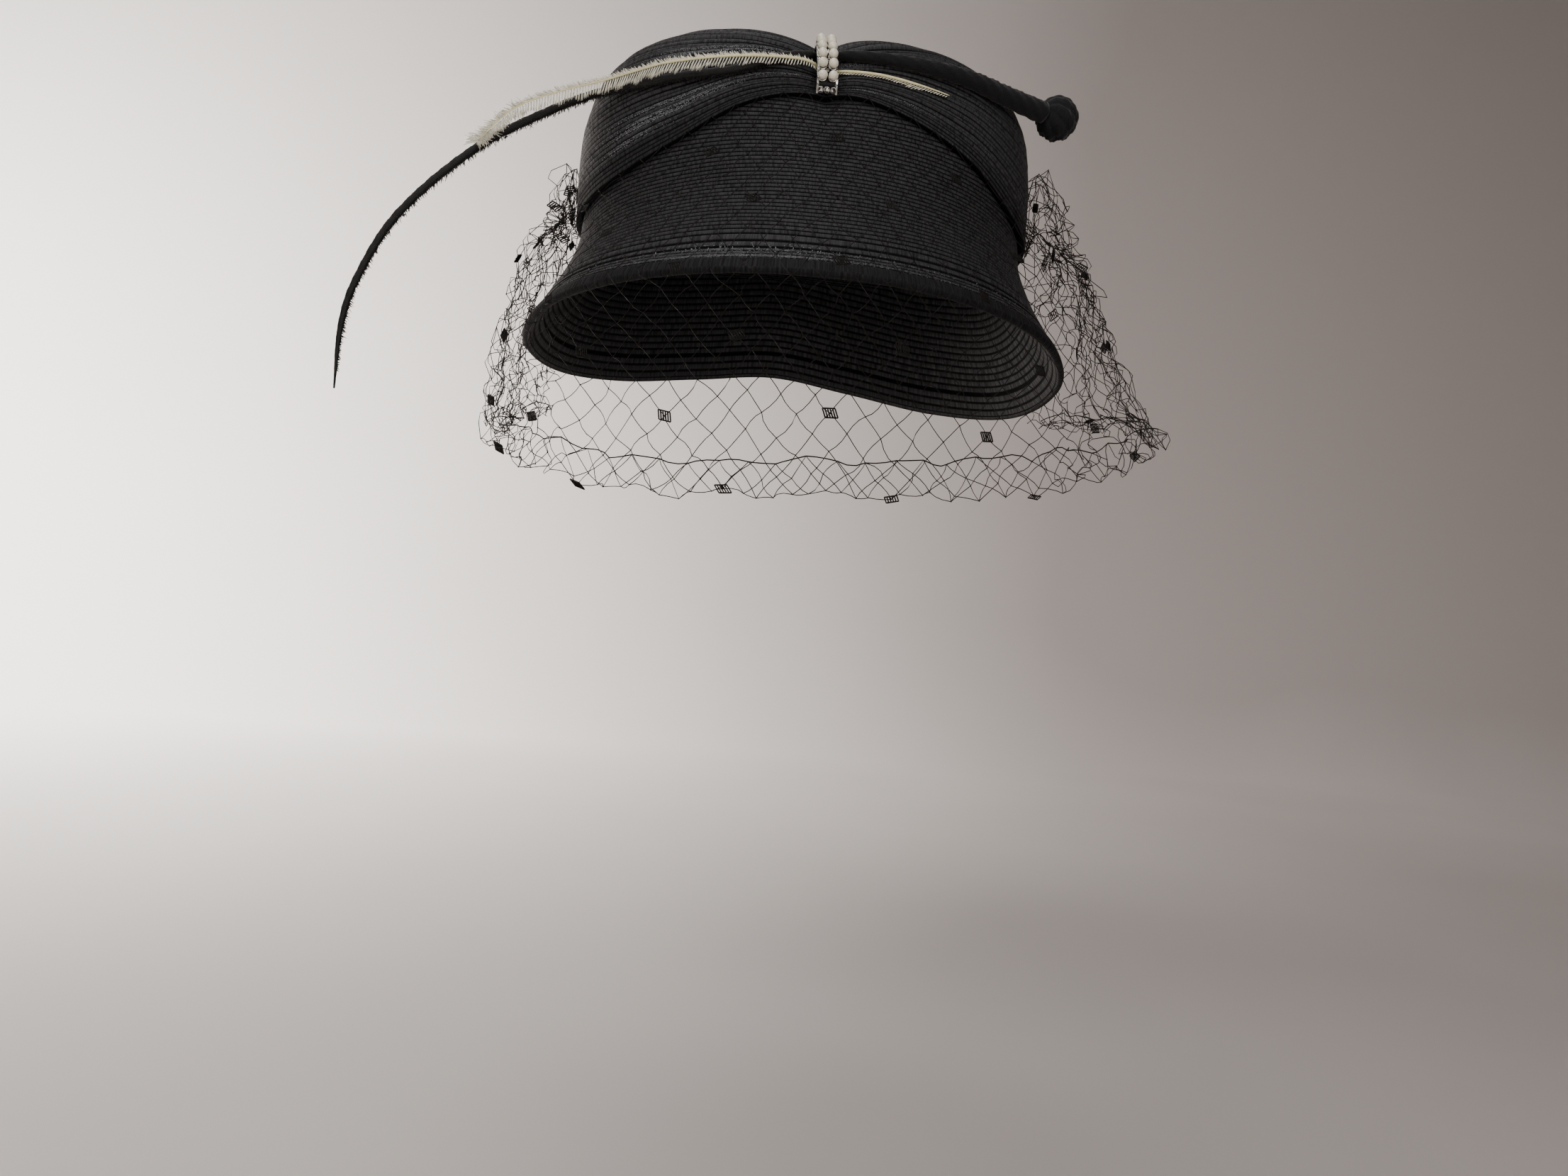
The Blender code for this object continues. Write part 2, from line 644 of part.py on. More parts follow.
def clasp_bed(share):
    """Place under the clasp's middle, level with the crown under its two edges, and the way out."""
    middle = crown_at_share(0, share)
    out = facing(crown_at_share, 0, share, span=0.02)
    edge = math.degrees(CLASP_WIDTH / 2 / CROWN_FRONT)
    rise = max((crown_at_share(a, share) - middle).dot(out) for a in (-edge, 0, edge))
    return middle + rise * out, out


def clasp_path():
    """Underside of the clasp's strip: its feet meet the crown, and its middle bridges the quill."""
    length = crown_section(0)[2][-1]
    points = []
    for t in np.linspace(0, 1, 15):
        middle, out = clasp_bed((CLASP_FOOT + t * CLASP_LENGTH) / length)
        lift = 2 * FIT_GAP + CLASP_RISE * math.sin(math.pi * t) ** 0.45
        points.append(middle + lift * out)
    return np.array(points)


def clasp_frame(along):
    """Place on top of the clasp's strip at a length from its lower end, and its directions."""
    path = clasp_path()
    steps = np.linalg.norm(np.diff(path, axis=0), axis=1)
    length = np.concatenate([[0], np.cumsum(steps)])

    def at(s):
        return np.array([np.interp(s, length, path[:, k]) for k in range(3)])

    ahead = unit(at(along + CLASP_STRIP) - at(along - CLASP_STRIP))
    out = np.cross(ACROSS, ahead)
    return at(along) + out * CLASP_STRIP, ACROSS, ahead, out


def build_clasp(material):
    """Plain strip; its underside follows the clasp's path."""
    path = clasp_path()
    half = ACROSS * CLASP_WIDTH / 2
    rings = []
    for k, place in enumerate(path):
        ahead = unit(path[min(k + 1, len(path) - 1)] - path[max(k - 1, 0)])
        top = place + np.cross(ACROSS, ahead) * CLASP_STRIP
        rings.append([place - half, place + half, top + half, top - half])
    return add_body("clasp_bar", loft(rings), material)


def pearl_start():
    return END_STONE_SIZE + 0.75 * PEARL_PITCH


def build_pearls(material):
    for row in range(PEARL_ROWS):
        place, side, _, out = clasp_frame(pearl_start() + row * PEARL_PITCH)
        for n, sign in enumerate((-1, 1)):
            ball = bmesh.new()
            bmesh.ops.create_uvsphere(ball, u_segments=10, v_segments=6, radius=PEARL_SIZE / 2)
            middle = place + side * sign * PEARL_SPREAD / 2 + out * (PEARL_SIZE / 2 + FIT_GAP)
            bmesh.ops.translate(ball, verts=ball.verts, vec=middle)
            add_body(f"pearl_{row + 1}_{'left' if n == 0 else 'right'}", ball, material, 60)


def build_stone(name, place, side, ahead, out, size, material):
    """Round cut stone: point, girdle, eight crown facets and a table."""
    radius = size / 2
    levels = ((0.42, 0.95), (0.50, 0.95), (0.72, 0.58))
    rings = []
    for height, width in levels:
        ring = []
        for k in range(8):
            a = math.radians(45 * k + 22.5)
            spoke = math.cos(a) * side + math.sin(a) * ahead
            ring.append(place + out * (FIT_GAP + height * size) + spoke * radius * width)
        rings.append(ring)
    return add_body(name, loft(rings, first=place + out * FIT_GAP), material, 5)


def build_stones(material):
    for row in range(PEARL_ROWS - 1):
        frame = clasp_frame(pearl_start() + (row + 0.5) * PEARL_PITCH)
        build_stone(f"stone_{row + 1}", *frame, STONE_SIZE, material)
    place, side, ahead, out = clasp_frame(0.75 * END_STONE_SIZE)
    for k in range(END_STONES):
        offset = (k - (END_STONES - 1) / 2) * (END_STONE_SIZE + FIT_GAP)
        build_stone(f"end_stone_{k + 1}", place + side * offset, side, ahead, out,
                    END_STONE_SIZE, material)


def main():
    for leftover in list(bpy.data.objects):
        bpy.data.objects.remove(leftover)
    straw = principled("black_straw", (0.012, 0.012, 0.013), 0.42)
    build_crown(straw)
    build_brim(straw)
    build_veil(principled("black_net", (0.02, 0.017, 0.016), 0.6))
    build_quill(principled("black_quill", (0.01, 0.01, 0.01), 0.7))
    build_bobble(principled("black_velvet", (0.006, 0.006, 0.007), 0.95))
    build_feather(principled("ivory_feather", (0.80, 0.76, 0.61), 0.75))
    build_clasp(principled("silver_setting", (0.75, 0.75, 0.74), 0.25, 1.0))
    build_pearls(principled("pearl", (0.86, 0.83, 0.74), 0.22))
    build_stones(principled("clear_stone", (0.85, 0.87, 0.88), 0.05))


main()
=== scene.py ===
"""Looks of the draped straw hat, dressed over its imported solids.

Metres, +Z up. The origin is the middle of the head opening and the front of the hat faces -Y.
Angles go round the head from the front, positive towards +X.
"""

import math
from functools import lru_cache

import bmesh
import bpy
import numpy as np
from mathutils import Matrix, Vector


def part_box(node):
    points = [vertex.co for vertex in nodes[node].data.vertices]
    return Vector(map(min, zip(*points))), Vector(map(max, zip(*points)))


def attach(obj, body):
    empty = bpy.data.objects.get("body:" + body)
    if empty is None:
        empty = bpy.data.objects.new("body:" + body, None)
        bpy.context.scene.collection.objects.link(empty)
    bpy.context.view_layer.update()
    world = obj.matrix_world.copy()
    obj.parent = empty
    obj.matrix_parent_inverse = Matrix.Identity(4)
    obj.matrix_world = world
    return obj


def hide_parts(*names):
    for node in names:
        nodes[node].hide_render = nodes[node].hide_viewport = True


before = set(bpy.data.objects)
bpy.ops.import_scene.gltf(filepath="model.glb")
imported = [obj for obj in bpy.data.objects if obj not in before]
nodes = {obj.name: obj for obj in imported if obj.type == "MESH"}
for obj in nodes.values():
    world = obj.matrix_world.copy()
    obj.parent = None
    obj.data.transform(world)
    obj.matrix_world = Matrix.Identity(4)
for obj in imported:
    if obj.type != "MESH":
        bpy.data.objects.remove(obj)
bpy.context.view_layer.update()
MM = 0.001
rng = np.random.default_rng(11)


def named_rows(names, *rows):
    """Rows of a table, each with its values by column name."""
    return [dict(zip(names.split(), row)) for row in rows]


# Sizes and tables that the solids follow
STRAW_WALL = 2.0 * MM
FIT_GAP = 0.3 * MM
CROWN_HALF_WIDTH = 90 * MM
CROWN_FRONT = 75 * MM
CROWN_BACK = 98 * MM
CROWN_RISE = 69 * MM
PLAN_SQUARENESS = 2.35
SECTION_SQUARENESS = 3.9
VALLEY_DEPTH = 10 * MM
VALLEY_REACH = 48 * MM
VALLEY_LEFT = 17 * MM
VALLEY_RIGHT = 12 * MM
VALLEY_FLOOR = 20 * MM
VALLEY_CREST = 55 * MM
BRIM_HALF_WIDTH = 108 * MM
BRIM_FRONT = 97 * MM
BRIM_BACK = 106 * MM
FLAP_DROP = 60 * MM
BRIM_TUCK = 8 * MM
RIM_WALL = 3.0 * MM
HEM_WIDTH = 10 * MM
VEIL_DROP = 115 * MM
VEIL_SWELL = 42 * MM
VEIL_PUFF = 42 * MM
VEIL_TUCK = 14 * MM
VEIL_CLEARANCE = 3.0 * MM
VEIL_HALF_ANGLE = 118
QUILL_GIRTH = 3.6 * MM
QUILL_SPAN = 82 * MM
QUILL_DROP = 80 * MM
QUILL_FORWARD = 43 * MM
STEM_GIRTH = 8.0 * MM
BOBBLE_WIDTH = 17 * MM
BOBBLE_LENGTH = 15 * MM
BOBBLE_LOBES = 8
BOBBLE_OUT = 92 * MM
BOBBLE_FORWARD = 42 * MM
BOBBLE_HEIGHT = 44.5 * MM
FEATHER_FACE = (-0.35, -0.93, 0.10)
FEATHER_WIDTH = 7.0 * MM
FEATHER_THICKNESS = 1.3 * MM
FEATHER_SPAN = 34 * MM
FEATHER_FORWARD = 49 * MM
CLASP_WIDTH = 7.4 * MM
CLASP_STRIP = 1.0 * MM
CLASP_LENGTH = 28.5 * MM
CLASP_RISE = 4.7 * MM
CLASP_FOOT = 1.0 * MM
PEARL_SIZE = 3.5 * MM
PEARL_PITCH = 4.1 * MM
PEARL_SPREAD = 3.8 * MM
PEARL_ROWS = 6
END_STONE_SIZE = 2.0 * MM
END_STONES = 3
SECTION_STEPS = 240
ACROSS = np.array([1.0, 0.0, 0.0])

CROWN_SECTIONS = named_rows(
    "angle foot",
    (-180, 0.03),
    (-145, 0.00),
    (-110, -0.05),
    (-80, -0.05),
    (-60, 0.03),
    (-40, 0.20),
    (-20, 0.43),
    (0, 0.53),
    (20, 0.44),
    (40, 0.27),
    (60, 0.05),
    (80, -0.05),
    (110, -0.06),
    (145, 0.00),
)

BRIM_SECTIONS = named_rows(
    "angle reach drop flare",
    (-180, 0.99, 0.66, 0.40),
    (-160, 0.98, 0.74, 0.40),
    (-135, 0.97, 0.86, 0.40),
    (-110, 0.98, 0.90, 0.40),
    (-85, 1.00, 0.82, 0.45),
    (-60, 1.00, 0.68, 0.50),
    (-30, 0.99, 0.59, 0.50),
    (0, 1.00, 0.57, 0.50),
    (30, 1.00, 0.60, 0.50),
    (60, 1.01, 0.71, 0.50),
    (85, 1.02, 0.87, 0.45),
    (110, 1.01, 0.98, 0.40),
    (135, 0.97, 0.92, 0.40),
    (160, 0.98, 0.76, 0.40),
)

VEIL_SECTIONS = named_rows(
    "angle fall swell puff tuck",
    (-118, 0.64, 0.20, 0.25, 0.4),
    (-90, 0.76, 0.15, 0.76, 0.5),
    (-62, 0.90, 0.20, 0.20, 0.8),
    (-35, 0.99, 0.20, 0.00, 0.9),
    (0, 0.98, 0.21, 0.00, 1.0),
    (35, 0.93, 0.26, 0.00, 1.0),
    (62, 0.82, 0.50, 0.25, 0.8),
    (90, 0.62, 1.00, 1.00, 0.5),
    (118, 0.52, 0.80, 0.40, 0.4),
)

QUILL_SEATS = named_rows(
    "angle height girth",
    (0, 0.72, 0.90),
    (-12, 0.67, 0.90),
    (-25, 0.57, 0.90),
    (-43, 0.53, 0.90),
)
QUILL_FREE = named_rows(
    "out height forward girth",
    (-0.11, 0.45, 1.06, 0.90),
    (0.09, 0.365, 1.01, 0.90),
    (0.43, 0.16, 0.95, 0.90),
    (0.77, -0.18, 0.90, 0.85),
    (0.94, -0.51, 0.87, 0.80),
    (0.99, -0.72, 0.85, 0.65),
    (1.00, -1.00, 0.84, 0.20),
)
STEM_SEATS = named_rows(
    "angle height girth",
    (10, 0.705, 0.48),
    (20, 0.695, 0.56),
    (35, 0.68, 0.72),
    (50, 0.655, 0.88),
)
FEATHER_SEATS = named_rows(
    "angle height lift up down",
    (34, 0.570, 0.00, 0.06, 0.10),
    (26, 0.590, 0.00, 0.10, 0.45),
    (14, 0.615, 0.00, 0.12, 0.40),
    (0, 0.620, 0.00, 0.12, 0.16),
    (-9, 0.612, 1.00, 0.14, 0.30),
    (-23, 0.603, 1.10, 0.18, 0.45),
    (-43, 0.572, 1.15, 0.22, 0.60),
)
FEATHER_FREE = named_rows(
    "out height forward up down",
    (-0.28, 0.55, 1.04, 0.26, 0.62),
    (0.20, 0.47, 1.02, 0.28, 0.60),
    (0.63, 0.37, 1.00, 0.26, 0.50),
    (1.00, 0.18, 1.00, 0.10, 0.20),
)

# Straw braid: width of a plain row of the brim, height of its ridge, and points across it as
# shares of both; then the crown's rows, ridge and folds, and the columns of both pieces
BRAID_WIDTH = 1.6 * MM
BRAID_RIDGE = 0.45 * MM
BRAID_PROFILE = named_rows(
    "across height",
    (0.0, -1.0),
    (0.3, 0.4),
    (0.7, 0.4),
)
CROWN_BRAIDS = 66
CROWN_RIDGE = 0.65 * MM
CROWN_FOLDS = 26
BROAD_FOLDS = 9.3
CROWN_COLUMNS = 336
BRIM_COLUMNS = 352
RIM_BAND = 4.3 * MM

# Rows of the brim's panel above its rim band, in millimetres; relief: share of the ridge's height;
# crest: where across the row it is highest. Plain rows follow them, up to the drape
PANEL_ROWS = named_rows(
    "width relief crest",
    (1.4, 0.35, 0.5),
    (1.4, 0.25, 0.5),
    (1.5, 0.45, 0.5),
    (3.3, 1.25, 0.2),
    (3.0, 1.35, 0.5),
    (2.0, 1.15, 0.5),
    (1.8, 1.05, 0.5),
)
PLAIN_ROWS = 42
UNDER_ROWS = 19
UNDER_WIDTH = 2.9 * MM

# Lines of painted highlight pin-points on the drape; row: braid from the drape's edge; angle: its
# middle, from the front; reach: half its length in degrees; share: how many of its points are painted
# bright
PAINTED_GLINT_LINES = named_rows(
    "row angle reach share",
    (4, 14, 11, 0.35),
    (5, -52, 6, 0.40),
    (7, -46, 8, 0.60),
    (8, -39, 11, 0.55),
    (10, -27, 19, 0.55),
    (18, 12, 9, 0.30),
    (19, 15, 10, 0.30),
    (20, -26, 13, 0.35),
    (21, -27, 16, 0.45),
    (22, -28, 16, 0.45),
    (23, -29, 14, 0.35),
    (21, 17, 10, 0.30),
    (24, 19, 9, 0.25),
)

# Veiling: thread, knot and woven dot, and its half meshes along the brim and down
THREAD = 0.30 * MM
KNOT = 0.62 * MM
DOT = 4.3 * MM
NET_COLUMNS = 104
NET_ROWS = 26
# side gathers: middle and reach in degrees, and the share of the fall where they are tightest
RIGHT_GATHER, LEFT_GATHER = named_rows(
    "angle reach row",
    (92, 24, 0.40),
    (-90, 20, 0.34),
)
# where the net is tacked or drawn in, in millimetres, and how far and how hard each one pulls
TACKS = named_rows(
    "x y z reach pull",
    (-92, -8, -4, 19, 0.92),
    (91, -10, 2, 13, 0.85),
    (106, -10, 0, 10, 0.70),
    (119, -10, -3, 9, 0.65),
    (118, -10, -13, 9, 0.60),
    (126, -12, -29, 10, 0.55),
)

# Rings of the quill and stem, step between the feather's barbs and pitch of their tufts; shares
# of the feather's length where the stub ends, where the fluff starts and where the end hangs
QUILL_RINGS = 420
BARB_STEP = 0.34 * MM
TUFT_PITCH = 1.1 * MM
STUB_END = 0.22
FLUFF_START = 0.86
END_TUFT = 0.965

FLOOR_HEIGHT = -0.363


# Shapes that the solids share

def unit(vector):
    return vector / np.linalg.norm(vector)


def units(vectors):
    return vectors / np.linalg.norm(vectors, axis=-1, keepdims=True)


def hermite(start, end, leave, arrive, t):
    rise = start * (2 * t**3 - 3 * t**2 + 1) + leave * (t**3 - 2 * t**2 + t)
    return rise + end * (3 * t**2 - 2 * t**3) + arrive * (t**3 - t**2)


def column(table, name, angle):
    """Smooth value of a table's column at an angle, closed round the head."""
    at = [row["angle"] for row in table]
    value = [row[name] for row in table]
    at = [at[-1] - 360] + at + [at[0] + 360, at[1] + 360]
    value = [value[-1]] + value + value[:2]
    a = (angle + 180) % 360 - 180
    i = 1
    while a >= at[i + 1]:
        i += 1
    before = (value[i + 1] - value[i - 1]) / (at[i + 1] - at[i - 1])
    after = (value[i + 2] - value[i]) / (at[i + 2] - at[i])
    span = at[i + 1] - at[i]
    return hermite(value[i], value[i + 1], before * span, after * span, (a - at[i]) / span)


def smooth_path(stations, steps):
    """Points of a smooth curve through the stations, with steps points to each span."""
    points = [np.array(station, float) for station in stations]
    ends = [2 * points[0] - points[1]] + points + [2 * points[-1] - points[-2]]
    path = []
    for before, start, end, after in zip(ends, ends[1:], ends[2:], ends[3:]):
        lengths = [max(np.linalg.norm((b - a)[:3]), 1e-9) for a, b in
                   ((before, start), (start, end), (end, after))]
        leave = lengths[1] * (end - before) / (lengths[0] + lengths[1])
        arrive = lengths[1] * (after - start) / (lengths[1] + lengths[2])
        path += [hermite(start, end, leave, arrive, k / steps) for k in range(steps)]
    return np.array(path + [points[-1]])


def lengths_along(path):
    steps = np.linalg.norm(np.diff(path[:, :3], axis=0), axis=1)
    return np.concatenate([[0], np.cumsum(steps)])


def at_lengths(path, at):
    """Points of a path at lengths along it."""
    length = lengths_along(path)
    return np.stack([np.interp(at, length, path[:, k]) for k in range(path.shape[1])], -1)


def plan_reach(angle, half_width, front, back, squareness=2.0):
    """Distance from the axis to an oval with its own depth to the front and to the back."""
    a = math.radians(angle)
    depth = front if math.cos(a) > 0 else back
    side = abs(math.sin(a) / half_width) ** squareness
    ahead = abs(math.cos(a) / depth) ** squareness
    return (side + ahead) ** (-1 / squareness)


@lru_cache(maxsize=None)
def crown_section(angle):
    """Reach, height and length along the crown's section, from the drape's edge to the top."""
    reach = plan_reach(angle, CROWN_HALF_WIDTH, CROWN_FRONT, CROWN_BACK, PLAN_SQUARENESS)
    foot = column(CROWN_SECTIONS, "foot", angle) * CROWN_RISE
    turn = np.linspace(0, math.pi / 2, SECTION_STEPS)
    power = 2 / SECTION_SQUARENESS
    r = reach * np.clip(np.cos(turn), 0, 1) ** power
    r[-1] = 0
    z = CROWN_RISE * np.sin(turn) ** power
    start = np.interp(foot, z, r) if foot > 0 else reach
    kept = z > max(foot, 0) * 1.0001
    if foot < 0:
        kept[0] = True
    r = np.concatenate([[start], r[kept]])
    z = np.concatenate([[foot], z[kept]])
    length = np.concatenate([[0], np.cumsum(np.hypot(np.diff(r), np.diff(z)))])
    return r, z, length


def gathered(angle, row):
    """Row shares after the clasp has drawn the lower rows together at the front."""
    a = abs((angle + 180) % 360 - 180)
    pull = math.exp(-((a / 36) ** 2))
    row = np.asarray(row, float)
    drawn = np.where(row < 0.45, row / 0.45 * 0.26, 0.26 + (row - 0.45) / 0.55 * 0.74)
    return row + pull * (drawn - row)


def pinched(points):
    """Points after the clasp has pulled the front of the crown's top down and back."""
    x, y, z = points[..., 0], points[..., 1], points[..., 2]
    behind = np.maximum(y + 0.8 * CROWN_FRONT, 0)
    along = np.exp(-((behind / VALLEY_REACH) ** 2))
    low = np.clip((z - VALLEY_FLOOR) / (VALLEY_CREST - VALLEY_FLOOR), 0, 1)
    width = np.where(x < 0, VALLEY_LEFT, VALLEY_RIGHT)
    near = np.exp(-(np.abs(x / width) ** 1.1))
    depth = VALLEY_DEPTH * along * near * low
    return np.stack([x, y + 0.45 * depth, z - 0.75 * depth], -1)


def from_axis(angle, reach, height):
    a = math.radians(angle)
    return np.array([reach * math.sin(a), -reach * math.cos(a), height])


def crown_at_share(angle, share):
    """Points of the crown at shares of its section's length."""
    r, z, length = crown_section(angle)
    at = np.asarray(share, float) * length[-1]
    a = math.radians(angle)
    reach, height = np.interp(at, length, r), np.interp(at, length, z)
    return pinched(np.stack([reach * math.sin(a), -reach * math.cos(a), height], -1))


def crown_point(angle, row):
    return crown_at_share(angle, gathered(angle, row))


def facing(point_at, angle, share, span=0.01, turn=1.5):
    """Outward normal of a surface given by angle and share."""
    low, high = max(share - span, 0), min(share + span, 1)
    along = point_at(angle, high) - point_at(angle, low)
    across = point_at(angle + turn, share) - point_at(angle - turn, share)
    if np.linalg.norm(across) < 0.0003 * CROWN_RISE:
        return np.array([0.0, 0.0, 1.0])
    return unit(np.cross(across, along))


@lru_cache(maxsize=None)
def brim_path(angle):
    """Outer face of the brim from its edge hidden under the drape to its rim."""
    inset = STRAW_WALL + 2 * FIT_GAP
    length = crown_section(angle)[2][-1]
    shares = [BRIM_TUCK / length * part for part in (1.0, 0.5, 0.0)]
    hidden = [crown_at_share(angle, s) - inset * facing(crown_at_share, angle, s) for s in shares]
    start = hidden[-1]
    lead = unit(hidden[-1] - hidden[0])
    reach = plan_reach(angle, BRIM_HALF_WIDTH, BRIM_FRONT, BRIM_BACK)
    reach *= column(BRIM_SECTIONS, "reach", angle)
    end = from_axis(angle, reach, -FLAP_DROP * column(BRIM_SECTIONS, "drop", angle))
    fall = start[2] - end[2]
    flare = column(BRIM_SECTIONS, "flare", angle)
    out = np.array([start[0] - end[0], start[1] - end[1], 0])
    second = start + lead * 0.38 * fall
    third = end + flare * out + np.array([0, 0, 0.30 * fall])
    curve = []
    for t in np.linspace(0, 1, 40)[1:]:
        near = (1 - t) ** 3 * start + 3 * (1 - t) ** 2 * t * second
        curve.append(near + 3 * (1 - t) * t**2 * third + t**3 * end)
    return np.array(hidden + curve)


def brim_point(angle, share):
    path = brim_path(angle)
    return at_lengths(path, share * lengths_along(path)[-1])


def seat(angle, height_share, lift):
    """Point lifted off the crown's front at a height, and the direction out of the crown there."""
    shares = np.linspace(0, 0.7, 141)
    heights = crown_at_share(angle, shares)[:, 2]
    share = float(np.interp(height_share * CROWN_RISE, heights, shares))
    out = facing(crown_at_share, angle, share, span=0.02)
    return crown_at_share(angle, share) + lift * out, out


def crown_course(rows, names, lift_of, steps=6):
    """Stations that follow the crown: each row's place, way out and named values, filled in."""
    table = [[row["angle"] / 100, row["height"], *(row[name] for name in names)] for row in rows]
    stations = []
    for values in smooth_path(table, steps):
        point, out = seat(values[0] * 100, values[1], lift_of(values[2:]))
        stations.append([*point, *out, *values[2:]])
    return stations


def bobble_middle():
    return np.array([BOBBLE_OUT, -BOBBLE_FORWARD, BOBBLE_HEIGHT])


def quill_path():
    """Stations of the quill with its girth, from its tip to the stem's end at the bobble."""
    free = []
    for row in reversed(QUILL_FREE):
        free.append([
            -CROWN_HALF_WIDTH - row["out"] * QUILL_SPAN, -row["forward"] * QUILL_FORWARD,
            row["height"] * QUILL_DROP, row["girth"] * QUILL_GIRTH,
        ])
    rows = [{**row, "girth": row["girth"] * QUILL_GIRTH} for row in reversed(QUILL_SEATS)]
    rows += [{**row, "girth": row["girth"] * STEM_GIRTH} for row in STEM_SEATS]
    seated = crown_course(rows, ["girth"], lambda values: values[0] / 2 + 2 * FIT_GAP)
    stations = free + [[*station[:3], station[6]] for station in seated]
    toward = unit(bobble_middle() - np.array(stations[-1][:3]))
    end = bobble_middle() - toward * (BOBBLE_LENGTH / 2)
    stations.append([*end, STEM_GIRTH])
    return smooth_path(stations, 4), toward


def feather_path():
    """Stations of the feather: place, the direction out of the hat, and the two vanes' widths."""
    shaft = FEATHER_THICKNESS / 2 + 2 * FIT_GAP
    seated = crown_course(
        FEATHER_SEATS, ["lift", "up", "down"],
        lambda values: max(values[0], 0) * (QUILL_GIRTH + 2 * FIT_GAP) + shaft,
    )
    stations = []
    for x, y, z, *rest in seated:
        stations.append([x, y, z, *rest[:3], rest[4] * FEATHER_WIDTH, rest[5] * FEATHER_WIDTH])
    for row in FEATHER_FREE:
        place = [
            -CROWN_HALF_WIDTH - row["out"] * FEATHER_SPAN, -row["forward"] * FEATHER_FORWARD,
            row["height"] * CROWN_RISE,
        ]
        vanes = [row["up"] * FEATHER_WIDTH, row["down"] * FEATHER_WIDTH]
        stations.append([*place, *FEATHER_FACE, *vanes])
    return smooth_path(stations, 6)


def clasp_path():
    """Underside of the clasp's strip: its feet meet the crown, and its middle bridges the quill."""
    length = crown_section(0)[2][-1]
    edge = math.degrees(CLASP_WIDTH / 2 / CROWN_FRONT)
    points = []
    for t in np.linspace(0, 1, 15):
        share = (CLASP_FOOT + t * CLASP_LENGTH) / length
        middle = crown_at_share(0, share)
        out = facing(crown_at_share, 0, share, span=0.02)
        rise = max((crown_at_share(a, share) - middle).dot(out) for a in (-edge, 0, edge))
        lift = rise + 2 * FIT_GAP + CLASP_RISE * math.sin(math.pi * t) ** 0.45
        points.append(middle + lift * out)
    return np.array(points)


def clasp_frame(along):
    """Place on top of the clasp's strip at a length from its lower end, and its directions."""
    path = clasp_path()
    before, place, after = at_lengths(path, [along - CLASP_STRIP, along, along + CLASP_STRIP])
    ahead = unit(after - before)
    out = np.cross(ACROSS, ahead)
    return place + out * CLASP_STRIP, ahead, out


# Materials

def linear(colour):
    """Linear colour of an sRGB hex value."""
    value = [int(colour[k:k + 2], 16) / 255 for k in (1, 3, 5)]
    return [v / 12.92 if v <= 0.04045 else ((v + 0.055) / 1.055) ** 2.4 for v in value] + [1.0]


def add_node(tree, kind, inputs=None, **settings):
    """Node with its settings; an input is a value, or a node with one of its outputs."""
    node = tree.nodes.new(kind)
    for name, value in settings.items():
        setattr(node, name, value)
    for key, value in (inputs or {}).items():
        if isinstance(value, tuple) and isinstance(value[0], bpy.types.Node):
            tree.links.new(value[0].outputs[value[1]], node.inputs[key])
        else:
            node.inputs[key].default_value = value
    return node


def feed(shader, socket, source):
    """Links a node's output to a socket of the shader."""
    node, output = source
    node.id_data.links.new(node.outputs[output], shader.inputs[socket])


def calc(tree, operation, *values):
    """Output of a Math node."""
    return add_node(tree, "ShaderNodeMath", dict(enumerate(values)), operation=operation), 0


def remap(tree, value, start, end, low=0.0, high=1.0, **settings):
    """Output of a Map Range node, from start and end to low and high."""
    inputs = {"Value": value, "From Min": start, "From Max": end, "To Min": low, "To Max": high}
    return add_node(tree, "ShaderNodeMapRange", inputs, **settings), 0


def object_noise(tree, scale, detail=2.0):
    place = add_node(tree, "ShaderNodeTexCoord")
    inputs = {"Vector": (place, "Object"), "Scale": scale, "Detail": detail}
    return add_node(tree, "ShaderNodeTexNoise", inputs), "Fac"


def add_tint(shader, factor, dark, light, start=0.0, end=1.0):
    """Base colour that goes from dark to light as the factor goes from start to end."""
    ramp = add_node(shader.id_data, "ShaderNodeValToRGB", {"Fac": factor})
    for element, colour, place in zip(ramp.color_ramp.elements, (dark, light), (start, end)):
        element.color = linear(colour)
        element.position = place
    feed(shader, "Base Color", (ramp, "Color"))
    return ramp, "Color"


def add_bump(shader, height, strength, depth):
    bump = add_node(shader.id_data, "ShaderNodeBump", {"Height": height, "Strength": strength,
                                                       "Distance": depth})
    feed(shader, "Normal", (bump, "Normal"))


def new_material(name, colour, roughness, metallic=0.0, **shader_values):
    material = bpy.data.materials.new(name)
    material.use_nodes = True
    shader = material.node_tree.nodes["Principled BSDF"]
    shader.inputs["Base Color"].default_value = linear(colour)
    shader.inputs["Roughness"].default_value = roughness
    shader.inputs["Metallic"].default_value = metallic
    for socket, value in shader_values.items():
        shader.inputs[socket.replace("_", " ")].default_value = value
    return material, material.node_tree, shader


